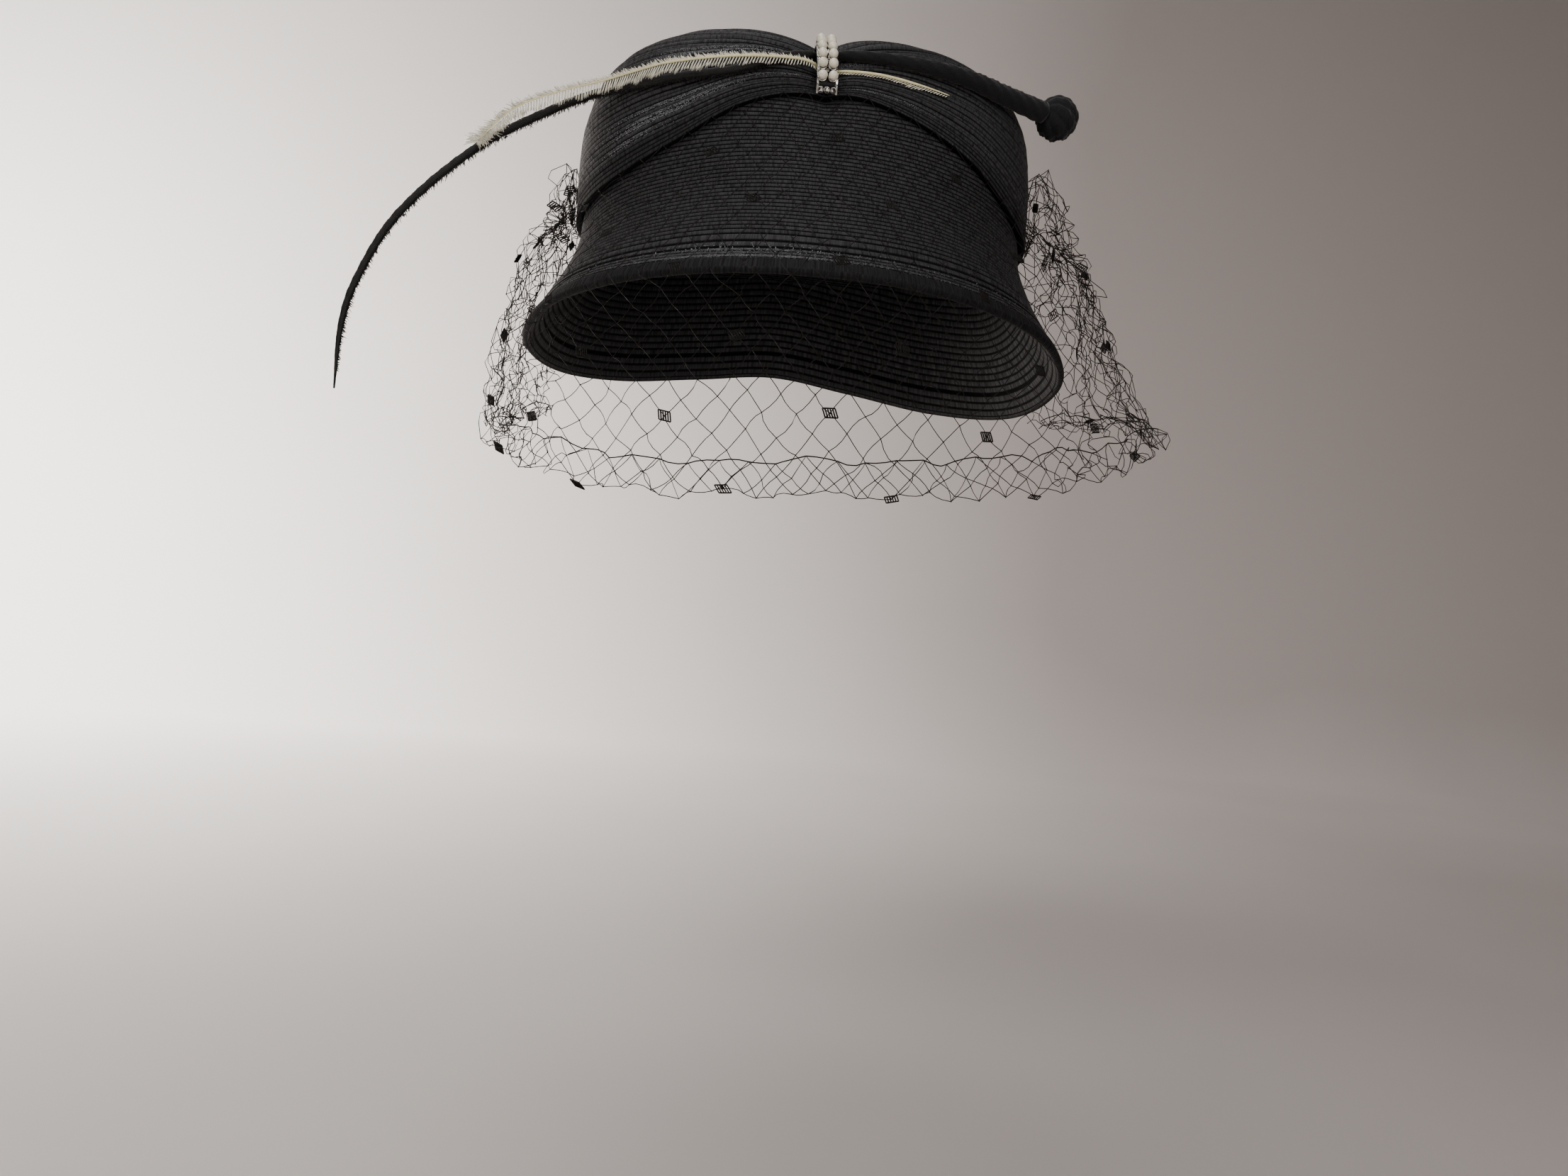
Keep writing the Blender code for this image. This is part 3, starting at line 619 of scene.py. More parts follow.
def straw_material():
    """Lacquered straw braid, plaited and sewn row by row. Each row shows slanted strands about
    0.9 mm wide under a soft gloss. The grooves between rows are painted darker as shade, and in
    some rows bright pin-points are painted into the colour as highlights, as from clear strands."""
    material, tree, shader = new_material("lacquered_straw_braid", "#19191a", 0.5,
                                          Specular_IOR_Level=0.16)
    uv = add_node(tree, "ShaderNodeUVMap", uv_map="braid")
    place = add_node(tree, "ShaderNodeSeparateXYZ", {"Vector": (uv, "UV")})
    across = calc(tree, "FRACT", (place, "Y"))
    row = calc(tree, "FLOOR", (place, "Y"))
    # strands slant one way in even rows and the other way in odd ones
    slant = calc(tree, "MULTIPLY_ADD", calc(tree, "MODULO", row, 2.0), 7.0, -3.5)
    turned = calc(tree, "MULTIPLY", across, slant)
    # a strand every 0.9 mm: 2 pi / 0.9 = 7.0 for each millimetre
    strand = calc(tree, "SINE", calc(tree, "MULTIPLY_ADD", (place, "X"), 7.0, turned))
    grain = add_node(tree, "ShaderNodeCombineXYZ", {"X": (place, "X"), "Y": row})
    noise = add_node(tree, "ShaderNodeTexNoise", {"Vector": (grain, 0), "Scale": 0.9, "Detail": 3.0},
                     noise_dimensions="2D")
    uneven = (noise, "Fac")
    add_bump(shader, calc(tree, "MULTIPLY_ADD", strand, 0.28, uneven), 0.45, 0.3 * MM)
    # painted shade: the grooves between the rows are painted darker and duller than their ridges,
    # and so is the whole braid where its attribute is below zero
    # attribute: above zero, the share of painted highlight pin-points; below zero, how far the braid is
    # painted darker as shade
    glint = (add_node(tree, "ShaderNodeAttribute", attribute_name="glint"), "Fac")
    plain = remap(tree, glint, -1.0, 0.0, 0.25)
    away = calc(tree, "ABSOLUTE", calc(tree, "ADD", across, -0.5))
    ridge = remap(tree, away, 0.46, 0.24, interpolation_type="SMOOTHSTEP")
    shade = calc(tree, "MULTIPLY", calc(tree, "MULTIPLY", ridge, plain), uneven)
    tint = add_tint(shader, shade, "#040405", "#38383a", 0.08, 0.58)
    # painted highlights: pin-points 0.5 mm across, about 1.1 mm apart along the middle of each
    # marked row, painted bright into the base colour
    spread = add_node(tree, "ShaderNodeMapping", {"Vector": (uv, "UV"), "Location": (0.0, -0.22, 0.0),
                                                  "Scale": (0.9, 1.0, 1.0)})
    spot = add_node(tree, "ShaderNodeTexVoronoi", {"Vector": (spread, 0), "Randomness": 0.35},
                    voronoi_dimensions="2D")
    close = remap(tree, (spot, "Distance"), 0.25, 0.14)
    chosen = add_node(tree, "ShaderNodeSeparateColor", {"Color": (spot, "Color")})
    painted_spark = calc(tree, "MULTIPLY", close, calc(tree, "LESS_THAN", (chosen, "Red"), glint))
    painted_glint_mix = add_node(tree, "ShaderNodeMix", {0: painted_spark, 6: tint, 7: linear("#d4d8de")}, data_type="RGBA")
    feed(shader, "Base Color", (painted_glint_mix, 2))
    # ridges are glossier than the grooves, which are 0.9 rough, and the painted highlights are glossier
    # still
    gloss = remap(tree, shade, 0.0, 1.0, 0.9, 0.15)
    feed(shader, "Roughness", calc(tree, "MULTIPLY_ADD", painted_spark, -0.3, gloss))
    return material


def thread_material():
    """Twisted nylon veiling thread: brown-black and dull, a little lighter where it wears."""
    material, tree, shader = new_material("nylon_veiling", "#110e0d", 0.6, Specular_IOR_Level=0.2)
    # blotches about 6 mm long
    add_tint(shader, object_noise(tree, 170.0), "#0a0808", "#191413")
    return material


def pile_material(name, dark, light, size, depth, roughness, sheen):
    """Short pile or fibre: two shades of one colour in grains of a size, and a soft edge light."""
    material, tree, shader = new_material(name, dark, roughness, Sheen_Weight=sheen,
                                          Sheen_Roughness=0.4, Specular_IOR_Level=0.3)
    grain = object_noise(tree, 1 / size, 3.0)
    add_tint(shader, grain, dark, light, 0.3, 0.7)
    add_bump(shader, grain, 0.7, depth)
    return material


def silver_material():
    """Rhodium-plated pot metal: bright, with fine polishing marks and darker spots of wear."""
    material, tree, shader = new_material("rhodium_plate", "#cfcdc8", 0.24, 1.0)
    wear = object_noise(tree, 900.0, 4.0)
    add_tint(shader, wear, "#6f6d69", "#dcdad4", 0.25, 0.55)
    feed(shader, "Roughness", remap(tree, wear, 0.0, 1.0, 0.42, 0.12))
    return material


def blackened_material():
    """Oxidised metal behind the stones: near black, with a dull gleam."""
    material, tree, shader = new_material("oxidised_metal", "#1a1a1b", 0.45, 0.8)
    feed(shader, "Roughness", remap(tree, object_noise(tree, 1200.0), 0.0, 1.0, 0.3, 0.6))
    return material


def pearl_material():
    """Glass pearls with an ivory lacquer: a soft, slightly mottled lustre under a clear coat."""
    material, tree, shader = new_material("lacquered_pearl", "#efe7d2", 0.30, Coat_Weight=0.7,
                                          Coat_Roughness=0.08)
    add_tint(shader, object_noise(tree, 700.0), "#ddd3ba", "#fbf6e8")
    return material


def stone_material():
    """Clear cut glass, foiled behind, under a polished face: painted reflections, bright facets painted
    among dark ones.
    """
    material, tree, shader = new_material("foiled_cut_glass", "#dfe3e8", 0.06, 0.9, Coat_Weight=1.0,
                                          Coat_Roughness=0.02)
    place = add_node(tree, "ShaderNodeTexCoord")
    # painted reflections: bright and dark facets about 0.7 mm wide, painted into the colour
    painted_flash = add_node(tree, "ShaderNodeTexVoronoi", {"Vector": (place, "Object"), "Scale": 1400.0})
    pick = add_node(tree, "ShaderNodeSeparateColor", {"Color": (painted_flash, "Color")})
    add_tint(shader, (pick, "Red"), "#15171a", "#ffffff", 0.35, 0.7)
    return material


# Meshes

def new_object(name, data):
    thing = bpy.data.objects.new(name, data)
    bpy.context.collection.objects.link(thing)
    return thing


def add_piece(name, points, faces, materials, slots=None):
    """Smooth piece from points and faces; slots gives each face's material."""
    mesh = bpy.data.meshes.new(name)
    mesh.from_pydata(np.asarray(points).tolist(), [], [list(map(int, face)) for face in faces])
    mesh.shade_smooth()
    for material in materials:
        mesh.materials.append(material)
    if slots is not None:
        mesh.polygons.foreach_set("material_index", np.asarray(slots, np.int32))
    return new_object(name, mesh)


def fit(piece, slot, *replaced):
    """The piece rides on the hat and the CAD nodes it is built over are hidden; slot is not used."""
    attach(piece, "root")
    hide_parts(*replaced)
    return piece


def grid_normals(points, outward):
    """Unit normals of points by column and ring, where the columns close round the head."""
    across = np.roll(points, -1, 0) - np.roll(points, 1, 0)
    along = np.gradient(points, axis=1)
    normal = outward * np.cross(across, along)
    size = np.linalg.norm(normal, axis=-1, keepdims=True)
    return np.where(size > 1e-15, normal / np.maximum(size, 1e-15), [0.0, 0.0, 1.0])


def ring_piece(name, rings, numbers, painted_glints_and_shade, material, poles=None):
    """Skin over rings that close round the head, ending in two poles, or closed on itself.

    Its UV map holds millimetres along each braid and the braid's number across it."""
    count, columns = rings.shape[:2]
    last = count - 1 if poles is not None else count
    here = np.arange(columns)
    beyond = (here + 1) % columns
    girths = np.linalg.norm(np.roll(rings, -1, 1) - rings, axis=-1).sum(1) / MM
    faces, uv = [], []
    girth, braid = girths[0], None
    for r in range(last):
        low, high = r * columns, (r + 1) % count * columns
        v, w = numbers[r], numbers[(r + 1) % count]
        if abs(v - w) > 1.5:
            w = v
        if math.floor((v + w) / 2) != braid:
            girth, braid = girths[r], math.floor((v + w) / 2)
        faces += np.stack([low + here, low + beyond, high + beyond, high + here], -1).tolist()
        u = np.stack([here, here + 1, here + 1, here], -1) / columns * girth
        uv.append(np.stack([u, np.broadcast_to([v, v, w, w], u.shape)], -1).reshape(-1, 2))
    points = rings.reshape(-1, 3)
    if poles is not None:
        points = np.concatenate([points, poles])
        top = (count - 1) * columns
        first = np.stack([np.full(columns, len(points) - 2), beyond, here], -1)
        end = np.stack([top + here, top + beyond, np.full(columns, len(points) - 1)], -1)
        faces += first.tolist() + end.tolist()
        uv.append(np.zeros((6 * columns, 2)))
        painted_glints_and_shade = np.concatenate([painted_glints_and_shade.reshape(-1), [0.0, 0.0]])
    piece = add_piece(name, points, faces, [material])
    layer = piece.data.uv_layers.new(name="braid")
    layer.data.foreach_set("uv", np.concatenate(uv).astype(np.float32).reshape(-1))
    # per point: above zero, share of painted highlight pin-points; below zero, painted shade
    attribute = piece.data.attributes.new("glint", "FLOAT", "POINT")
    attribute.data.foreach_set("value", np.asarray(painted_glints_and_shade, np.float32).reshape(-1))
    return piece


def bell(value, middle, width):
    return np.exp(-(((value - middle) / width) ** 2))


def braid_rings(count):
    """Number and ridge height of each ring across a count of braids."""
    return np.array([[k + p["across"], p["height"]] for k in range(count) for p in BRAID_PROFILE])


def panel_rings():
    """Distance past the rim band, braid number and ridge height of each ring of the panel."""
    plain = {"width": BRAID_WIDTH / MM, "relief": 1.0, "crest": 0.5}
    rings, start = [], 0.0
    for k, row in enumerate(PANEL_ROWS + [plain] * PLAIN_ROWS):
        crest = row["crest"]
        for across, height in ((0.0, -1.0), (0.6 * crest, 0.4), (0.4 + 0.6 * crest, 0.4)):
            place = (start + across * row["width"]) * MM
            rings.append([place, k + across, height * row["relief"]])
        start += row["width"]
    return np.array(rings)


# Crown

def make_crown(material):
    """Draped braid drawn into folds by the clasp, with a plain inner wall."""
    angles = np.linspace(-180, 180, CROWN_COLUMNS, endpoint=False)
    rings = braid_rings(CROWN_BRAIDS)
    numbers, ridges = rings[:, 0], rings[:, 1]
    rows = numbers / CROWN_BRAIDS
    base = np.array([crown_point(a, rows) for a in angles])
    normals = grid_normals(base, 1)
    near = np.abs(angles)[:, None]
    pull = bell(near, 0, 26) * (rows < 0.5)[None]
    fade = np.clip((1 - rows) / 0.12, 0, 1)[None]
    # the last rows of the drape are turned under and lie flat
    flat = np.clip((numbers - 0.75) / 3, 0.25, 1)[None]
    lift = CROWN_RIDGE * ridges[None] * fade * flat * (1 - 0.75 * pull)
    # folds a few braids wide run out from the clasp and die away at the sides
    drift = 1.2 * np.sin(np.radians(angles * 2.3))[:, None]
    fold = np.sin(2 * math.pi * CROWN_FOLDS * rows[None] + drift)
    broad = np.sin(2 * math.pi * BROAD_FOLDS * rows[None] - drift)
    lift = lift + MM * (0.5 * fold + 0.35 * broad) * bell(near, 16, 38) * fade * flat
    uneven = np.sin(np.radians(angles * 5))[:, None] * np.sin(rows[None] * 27)
    uneven = uneven + np.sin(np.radians(angles * 11 + 40))[:, None] * np.sin(rows[None] * 44 + 1)
    lift = lift + 0.16 * MM * uneven * fade
    # the drape's lower edge is softly rolled
    lift = lift + 0.25 * MM * bell(numbers, 1.1, 1.05)[None]
    outer = base + lift[..., None] * normals
    inner_rows = np.linspace(0, 0.97, 20)
    under = np.array([crown_point(a, inner_rows) for a in angles])
    inner = under - STRAW_WALL * grid_normals(under, 1)
    painted_glints_and_shade = np.concatenate([np.zeros((CROWN_COLUMNS, 20)), crown_painted_glints_and_shade(angles, numbers)], 1)
    points = np.concatenate([inner[:, ::-1], outer], 1).swapaxes(0, 1)
    top = crown_point(0, 1)
    return ring_piece("straw_crown", points, np.concatenate([inner_rows[::-1] * CROWN_BRAIDS, numbers]),
                      painted_glints_and_shade.T, material, poles=[top - [0, 0, STRAW_WALL], top])


def crown_painted_glints_and_shade(angles, numbers):
    """Share of painted highlight pin-points: on rows below and above the feather, most to the left.

    Below zero along the drape's turned edge, which lies plain and is painted dark as shade, and duller,
    most at the left."""
    a, n = angles[:, None], numbers[None]
    shine = 0.0
    for line in PAINTED_GLINT_LINES:
        inside = bell(a, line["angle"], line["reach"]) * (np.floor(n) == line["row"])
        shine = np.maximum(shine, line["share"] * np.clip(2.2 * inside, 0, 1))
    # painted shade: the drape's last rows are painted darker, most at the left
    dull = np.clip((4.9 - n) / 1.9, 0, 1) * (0.35 + 0.25 * bell(a, -42, 26))
    return shine - dull


# Brim

def brim_rings(angles, distances):
    """Points of the brim's outer face at distances from its rim; those past the drape's edge
    are squeezed into the tuck under it."""
    rings = []
    for angle in angles:
        path = brim_path(angle)
        length = lengths_along(path)[-1]
        shown = length - BRIM_TUCK + 1.0 * MM
        room = BRIM_TUCK - 1.5 * MM
        past = np.maximum(distances - shown, 0)
        squeezed = shown + past * room / max(distances[-1] - shown, room)
        at = np.where(past > 0, squeezed, distances)
        rings.append(at_lengths(path, length - at))
    return np.array(rings)


def make_brim(material):
    """Visor brim: rows of braid parallel to the rim, its rolled rim and its turned-in hem."""
    angles = np.linspace(-180, 180, BRIM_COLUMNS, endpoint=False)
    band = np.array([0.0, 0.19, 0.42, 0.67, 0.88, 0.97]) * RIM_BAND
    outer_rows = panel_rings()
    distances = np.concatenate([band, RIM_BAND + outer_rows[:, 0]])
    base = brim_rings(angles, distances)
    normals = grid_normals(base, 1)
    shown = np.array([lengths_along(brim_path(a))[-1] - BRIM_TUCK for a in angles])[:, None]
    # the rows die away before the drape, soonest on the left
    smooth = (1.5 + 4.5 * bell(angles, -48, 24) + 2.0 * bell(angles, 48, 20))[:, None] * MM
    open_air = np.clip((shown - distances[None]) / smooth, 0, 1)
    band_lift = np.array([0.0, 0.2, 0.35, 0.35, 0.2, -0.4]) * MM
    lift = np.concatenate([band_lift, outer_rows[:, 2] * BRAID_RIDGE])[None] * open_air
    a = np.radians(angles)[:, None]
    lift = lift + 0.12 * MM * np.sin(7 * a + distances[None] * 210) * open_air
    outer = base + lift[..., None] * normals
    # number -0.86 gives the rim band the shade of a braid's side
    outer_numbers = np.concatenate([np.full(6, -0.86), outer_rows[:, 1]])

    hem_rows = braid_rings(3)[1:]
    hem = hem_rows[:, 0] * HEM_WIDTH / 3
    under_rows = braid_rings(UNDER_ROWS)
    under = HEM_WIDTH + 0.8 * MM + under_rows[:, 0] * UNDER_WIDTH
    inner_distances = np.concatenate([hem, [HEM_WIDTH], under])
    inner_ridge = np.concatenate([hem_rows[:, 1] * 0.6, [-1.0], under_rows[:, 1]]) * BRAID_RIDGE
    walls = np.where(inner_distances <= HEM_WIDTH, RIM_WALL, STRAW_WALL)
    inner_base = brim_rings(angles, inner_distances)
    inner_normals = grid_normals(inner_base, 1)
    inner_open = np.clip((shown - inner_distances[None]) / (2 * MM), 0, 1)
    sink = walls[None] + inner_ridge[None] * inner_open * 0.45
    inner = inner_base - sink[..., None] * inner_normals
    inner_numbers = np.concatenate([hem_rows[:, 0], [3.0], 3 + under_rows[:, 0]])

    edge, edge_normals = base[:, 0], normals[:, 0]
    onward = units(base[:, 0] - base[:, 1])
    nose = []
    for turn in (150, 120, 90, 60, 30):
        t = math.radians(turn)
        nose.append(edge + RIM_WALL / 2 * ((math.cos(t) - 1) * edge_normals + math.sin(t) * onward))
    points = np.concatenate([outer.swapaxes(0, 1), inner.swapaxes(0, 1)[::-1], nose])
    numbers = np.concatenate([outer_numbers, inner_numbers[::-1], np.full(5, -0.86)])
    # painted shade: the brim's inside, hem and rolled nose are painted darker and duller through the
    # attribute below zero
    painted_glints_and_shade = np.full(points.shape[:2], -0.25)
    painted_glints_and_shade[:len(outer_numbers)] = brim_painted_glints(angles, outer_numbers).T
    return ring_piece("straw_brim", points, numbers, painted_glints_and_shade, material)


def brim_painted_glints(angles, numbers):
    """Share of painted highlight pin-points: on the braids next to the rim band, most at the left."""
    a, n = angles[:, None], numbers[None]
    rows = 0.7 * bell(n, 0.5, 0.5) + 0.45 * bell(n, 2.5, 0.5) + 0.1 * bell(n, 1.5, 0.5)
    return rows * (n >= 0) * (0.75 * bell(a, -18, 20) + 0.3 * bell(a, 0, 45))


# Net veil

def tubes(paths, radii, sides=4, turn=0.0):
    """Points and faces of closed tubes along many short paths of equal count."""
    paths = np.asarray(paths)
    count, steps = paths.shape[:2]
    ahead = np.gradient(paths, axis=1)
    ahead = ahead / np.maximum(np.linalg.norm(ahead, axis=-1, keepdims=True), 1e-12)
    guide = np.where(np.abs(ahead[..., 2:3]) < 0.9, [0.0, 0.0, 1.0], [1.0, 0.0, 0.0])
    side = units(np.cross(ahead, guide))
    up = np.cross(side, ahead)
    spin = 2 * math.pi * np.arange(sides) / sides + turn
    radii = np.broadcast_to(np.asarray(radii, float), (count, steps))
    around = (np.cos(spin)[:, None] * side[:, :, None] + np.sin(spin)[:, None] * up[:, :, None])
    points = paths[:, :, None] + radii[..., None, None] * around
    start = (np.arange(count) * steps * sides)[:, None, None]
    ring = (np.arange(steps - 1) * sides)[None, :, None]
    here = np.arange(sides)[None, None]
    beyond = (here + 1) % sides
    a, b = start + ring + here, start + ring + beyond
    quads = np.stack([a, a + sides, b + sides, b], -1).reshape(-1, 4)
    low = start[:, 0] + np.arange(sides)[None]
    high = start[:, 0] + (steps - 1) * sides + np.arange(sides)[None, ::-1]
    return points.reshape(-1, 3), quads.tolist() + low.tolist() + high.tolist()


def joined(parts):
    """Points, faces and each face's part number of several meshes in one."""
    points, faces, owner, start = [], [], [], 0
    for n, (some_points, some_faces) in enumerate(parts):
        points.append(some_points)
        faces += [[start + k for k in face] for face in some_faces]
        owner += [n] * len(some_faces)
        start += len(some_points)
    return np.concatenate(points), faces, owner


def veil_path(angle):
    """The net's fall at an angle: from the drape's edge, over the rim, round its fold."""
    swell = column(VEIL_SECTIONS, "swell", angle) * VEIL_SWELL
    puff_share = max(column(VEIL_SECTIONS, "puff", angle), 0)
    puff = puff_share * VEIL_PUFF
    top = crown_at_share(angle, 0) + 1.2 * MM * facing(crown_point, angle, 0)
    rim = brim_point(angle, 1)
    away = from_axis(angle, 1, 0)
    up = np.array([0.0, 0.0, 1.0])
    over = rim + away * (VEIL_CLEARANCE + 0.55 * swell)
    fold = np.array([rim[0], rim[1], 0]) + away * (VEIL_CLEARANCE + swell)
    fold[2] = -column(VEIL_SECTIONS, "fall", angle) * VEIL_DROP
    between = 0.42 * (1 - min(puff_share, 1))
    crest = top + between * (over - top) + away * (0.12 * puff) + puff * up
    tuck = column(VEIL_SECTIONS, "tuck", angle) * VEIL_TUCK
    before = fold + 0.35 * tuck * up + 0.06 * tuck * away
    under = fold - 0.35 * tuck * away + 0.12 * tuck * up
    selvedge = fold - 0.75 * tuck * away + 1.0 * tuck * up
    return smooth_path([top, crest, over, before, fold - 0.1 * tuck * away, under, selvedge], 14)


def spaced(weights, count):
    """Shares from 0 to 1 that lie closer where the weights are higher."""
    total = np.concatenate([[0], np.cumsum((weights[1:] + weights[:-1]) / 2)])
    return np.interp(np.linspace(0, total[-1], count + 1), total, np.linspace(0, 1, len(weights)))


def gather_at(gather, angle):
    """Strength of a side gather at an angle, from 0 to 1."""
    return bell(angle, gather["angle"], gather["reach"])


def net_knots():
    """Places of the veiling's knots by column and row, hung, gathered and crumpled."""
    share = np.linspace(0, 1, 400)
    at = VEIL_HALF_ANGLE * (2 * share - 1)
    closer = 1 + 0.9 * gather_at(RIGHT_GATHER, np.abs(at))
    angles = VEIL_HALF_ANGLE * (2 * spaced(closer, NET_COLUMNS) - 1)
    knots = []
    for i, angle in enumerate(angles):
        right, left = gather_at(RIGHT_GATHER, angle), gather_at(LEFT_GATHER, angle)
        crowd = 1 + 2.6 * right * bell(share, RIGHT_GATHER["row"], 0.07)
        crowd = crowd + 1.8 * left * bell(share, LEFT_GATHER["row"], 0.06)
        rows = spaced(crowd, NET_ROWS)
        path = veil_path(float(angle))
        places = at_lengths(path, rows * lengths_along(path)[-1])
        away = from_axis(angle, 1, 0)
        slack = 0.9 * MM + 4.2 * MM * min(right + left, 1) + 1.0 * MM * bell(abs(angle), 60, 18)
        free = np.clip(rows / 0.3, 0, 1) ** 1.5
        wave = 0.6 * np.sin(2 * math.pi * i / 8.7 + 3.2 * rows)
        wave = wave + 0.45 * np.sin(2 * math.pi * i / 4.9 + 6.5 * rows + 1.3)
        crush = right * bell(rows, RIGHT_GATHER["row"], 0.08)
        crush = (crush + left * bell(rows, LEFT_GATHER["row"], 0.08)) * 1.6 * MM
        zigzag = crush * np.where(np.arange(NET_ROWS + 1) % 2, 1, -1)
        # at the left the net's first rows lie against the crown
        snug = 3.2 * MM * left * bell(rows, 0.14, 0.13)
        places = places + ((slack * free * wave + zigzag - snug)[:, None] * away)
        places[:, 2] += 1.2 * MM * free * np.sin(2 * math.pi * i / 6.1 + 4.0 * rows)
        jitter = (0.4 * MM + 0.6 * MM * min(right + left, 1)) * free
        places = places + jitter[:, None] * rng.normal(size=places.shape)
        knots.append(places)
    knots = np.array(knots)
    for tack in TACKS:
        middle = np.array([tack["x"], tack["y"], tack["z"]]) * MM
        away = (knots - middle) * [1.0, 0.4, 1.0]
        near = np.exp(-(np.linalg.norm(away, axis=-1) / (tack["reach"] * MM)) ** 2)
        knots = knots + (tack["pull"] * near)[..., None] * (middle - knots)
    return knots


def bowed(a, b, curl):
    """Thread of four points from knot to knot, bent to a side by a share of its length."""
    steps = np.array([0.0, 0.33, 0.67, 1.0])
    bow = rng.normal(size=3) * curl * np.linalg.norm(b - a)
    return a + steps[:, None] * (b - a) + (steps * (1 - steps) * 4)[:, None] * bow


def make_veil(material):
    """Knotted diamond net with woven dots; the threads of its selvedge are thicker."""
    knots = net_knots()
    paths, radii = [], []
    for i in range(NET_COLUMNS):
        for j in range(NET_ROWS + 1):
            if (i + j) % 2:
                continue
            for n in (j - 1, j + 1):
                if not 0 <= n <= NET_ROWS:
                    continue
                a, b = knots[i, j], knots[i + 1, n]
                # the slack thread of the gathered sides curls
                paths.append(bowed(a, b, 0.06 + 0.14 * (np.abs(a[0]) > 88 * MM)))
                radii.append([THREAD * 0.5] * 4)
    # the selvedge is a thicker thread from knot to knot of the last row
    for i in range(NET_ROWS % 2, NET_COLUMNS - 1, 2):
        paths.append(bowed(knots[i, NET_ROWS], knots[i + 2, NET_ROWS], 0.06))
        radii.append([THREAD * 0.75] * 4)
    places = [knots[i, j] for i in range(NET_COLUMNS + 1) for j in range(NET_ROWS + 1)
              if (i + j) % 2 == 0]
    points, faces, _ = joined([
        tubes(paths, np.array(radii)), knot_mesh(np.array(places)), dot_mesh(knots),
    ])
    return add_piece("net_veil", points, faces, [material])


def knot_mesh(places):
    """Small eight-sided knots where the threads cross."""
    corners = np.array([[1, 0, 0], [0, 1, 0], [-1, 0, 0], [0, -1, 0], [0, 0, 1], [0, 0, -1]])
    size = KNOT / 2 * rng.uniform(0.75, 1.15, len(places))
    points = places[:, None] + corners[None] * size[:, None, None]
    eight = np.array([[0, 1, 4], [1, 2, 4], [2, 3, 4], [3, 0, 4],
                      [1, 0, 5], [2, 1, 5], [3, 2, 5], [0, 3, 5]])
    faces = (np.arange(len(places)) * 6)[:, None, None] + eight[None]
    return points.reshape(-1, 3), faces.reshape(-1, 3).tolist()


def dot_mesh(knots):
    """Woven dots: bars of thread side by side between two rails, on every tenth column."""
    paths = []
    for n, j in enumerate(range(3, NET_ROWS, 4)):
        for i in range(3 + 4 * (n % 2), NET_COLUMNS - 1, 10):
            if (i + j) % 2:
                continue
            middle = knots[i, j]
            along = unit(knots[i + 1, j] - knots[i - 1, j])
            down = knots[i, j + 1] - knots[i, j - 1]
            down = unit(down - along * down.dot(along))
            half_width, half_height = DOT * 0.5, DOT * 0.36
            for k in np.linspace(-1, 1, 6):
                lean = 0.25 * half_width * along
                spot = middle + along * half_width * k
                paths.append([spot - down * half_height - lean, spot + down * half_height + lean])
            for sign in (-1, 1):
                rail = middle + sign * (down * half_height + 0.25 * half_width * along)
                paths.append([rail - along * half_width, rail + along * half_width])
    return tubes(np.array(paths), THREAD * 0.85)


# Quill, stem and bobble

def ring_tube(path, girths, sides, shape=None):
    """Points and faces of one tube, turned as little as it can be from ring to ring; shape
    scales its radius by turn and ring."""
    rings, side = [], None
    for k, point in enumerate(path):
        ahead = unit(path[min(k + 1, len(path) - 1)] - path[max(k - 1, 0)])
        side = np.cross(ahead, [0, 0, 1]) if side is None else side - ahead * side.dot(ahead)
        side = unit(side)
        up = np.cross(side, ahead)
        a = 2 * math.pi * np.arange(sides) / sides
        radius = girths[k] / 2 * (shape(a, k) if shape else np.ones(sides))
        rings.append(point + radius[:, None] * (np.cos(a)[:, None] * side + np.sin(a)[:, None] * up))
    here = np.arange(sides)
    beyond = (here + 1) % sides
    faces = []
    for k in range(len(path) - 1):
        low, high = k * sides, (k + 1) * sides
        faces += np.stack([low + here, high + here, high + beyond, low + beyond], -1).tolist()
    end = (len(path) - 1) * sides
    faces += [here.tolist(), (end + here[::-1]).tolist()]
    return np.concatenate(rings), faces


def hairs(roots, directions, lengths, radius, bend=0.25, sides=3):
    """Fine tapered hairs from their roots; each bends a little to one side."""
    roots, directions = np.array(roots), units(np.array(directions))
    steps = np.array([0.0, 0.4, 0.75, 1.0])
    lean = rng.normal(size=roots.shape) * bend
    lengths = np.asarray(lengths)[:, None, None]
    paths = roots[:, None] + lengths * (steps[None, :, None] * directions[:, None]
                                        + (steps**2)[None, :, None] * lean[:, None])
    return tubes(paths, np.asarray(radius)[..., None] * np.array([[1.0, 0.85, 0.6, 0.25]]), sides)


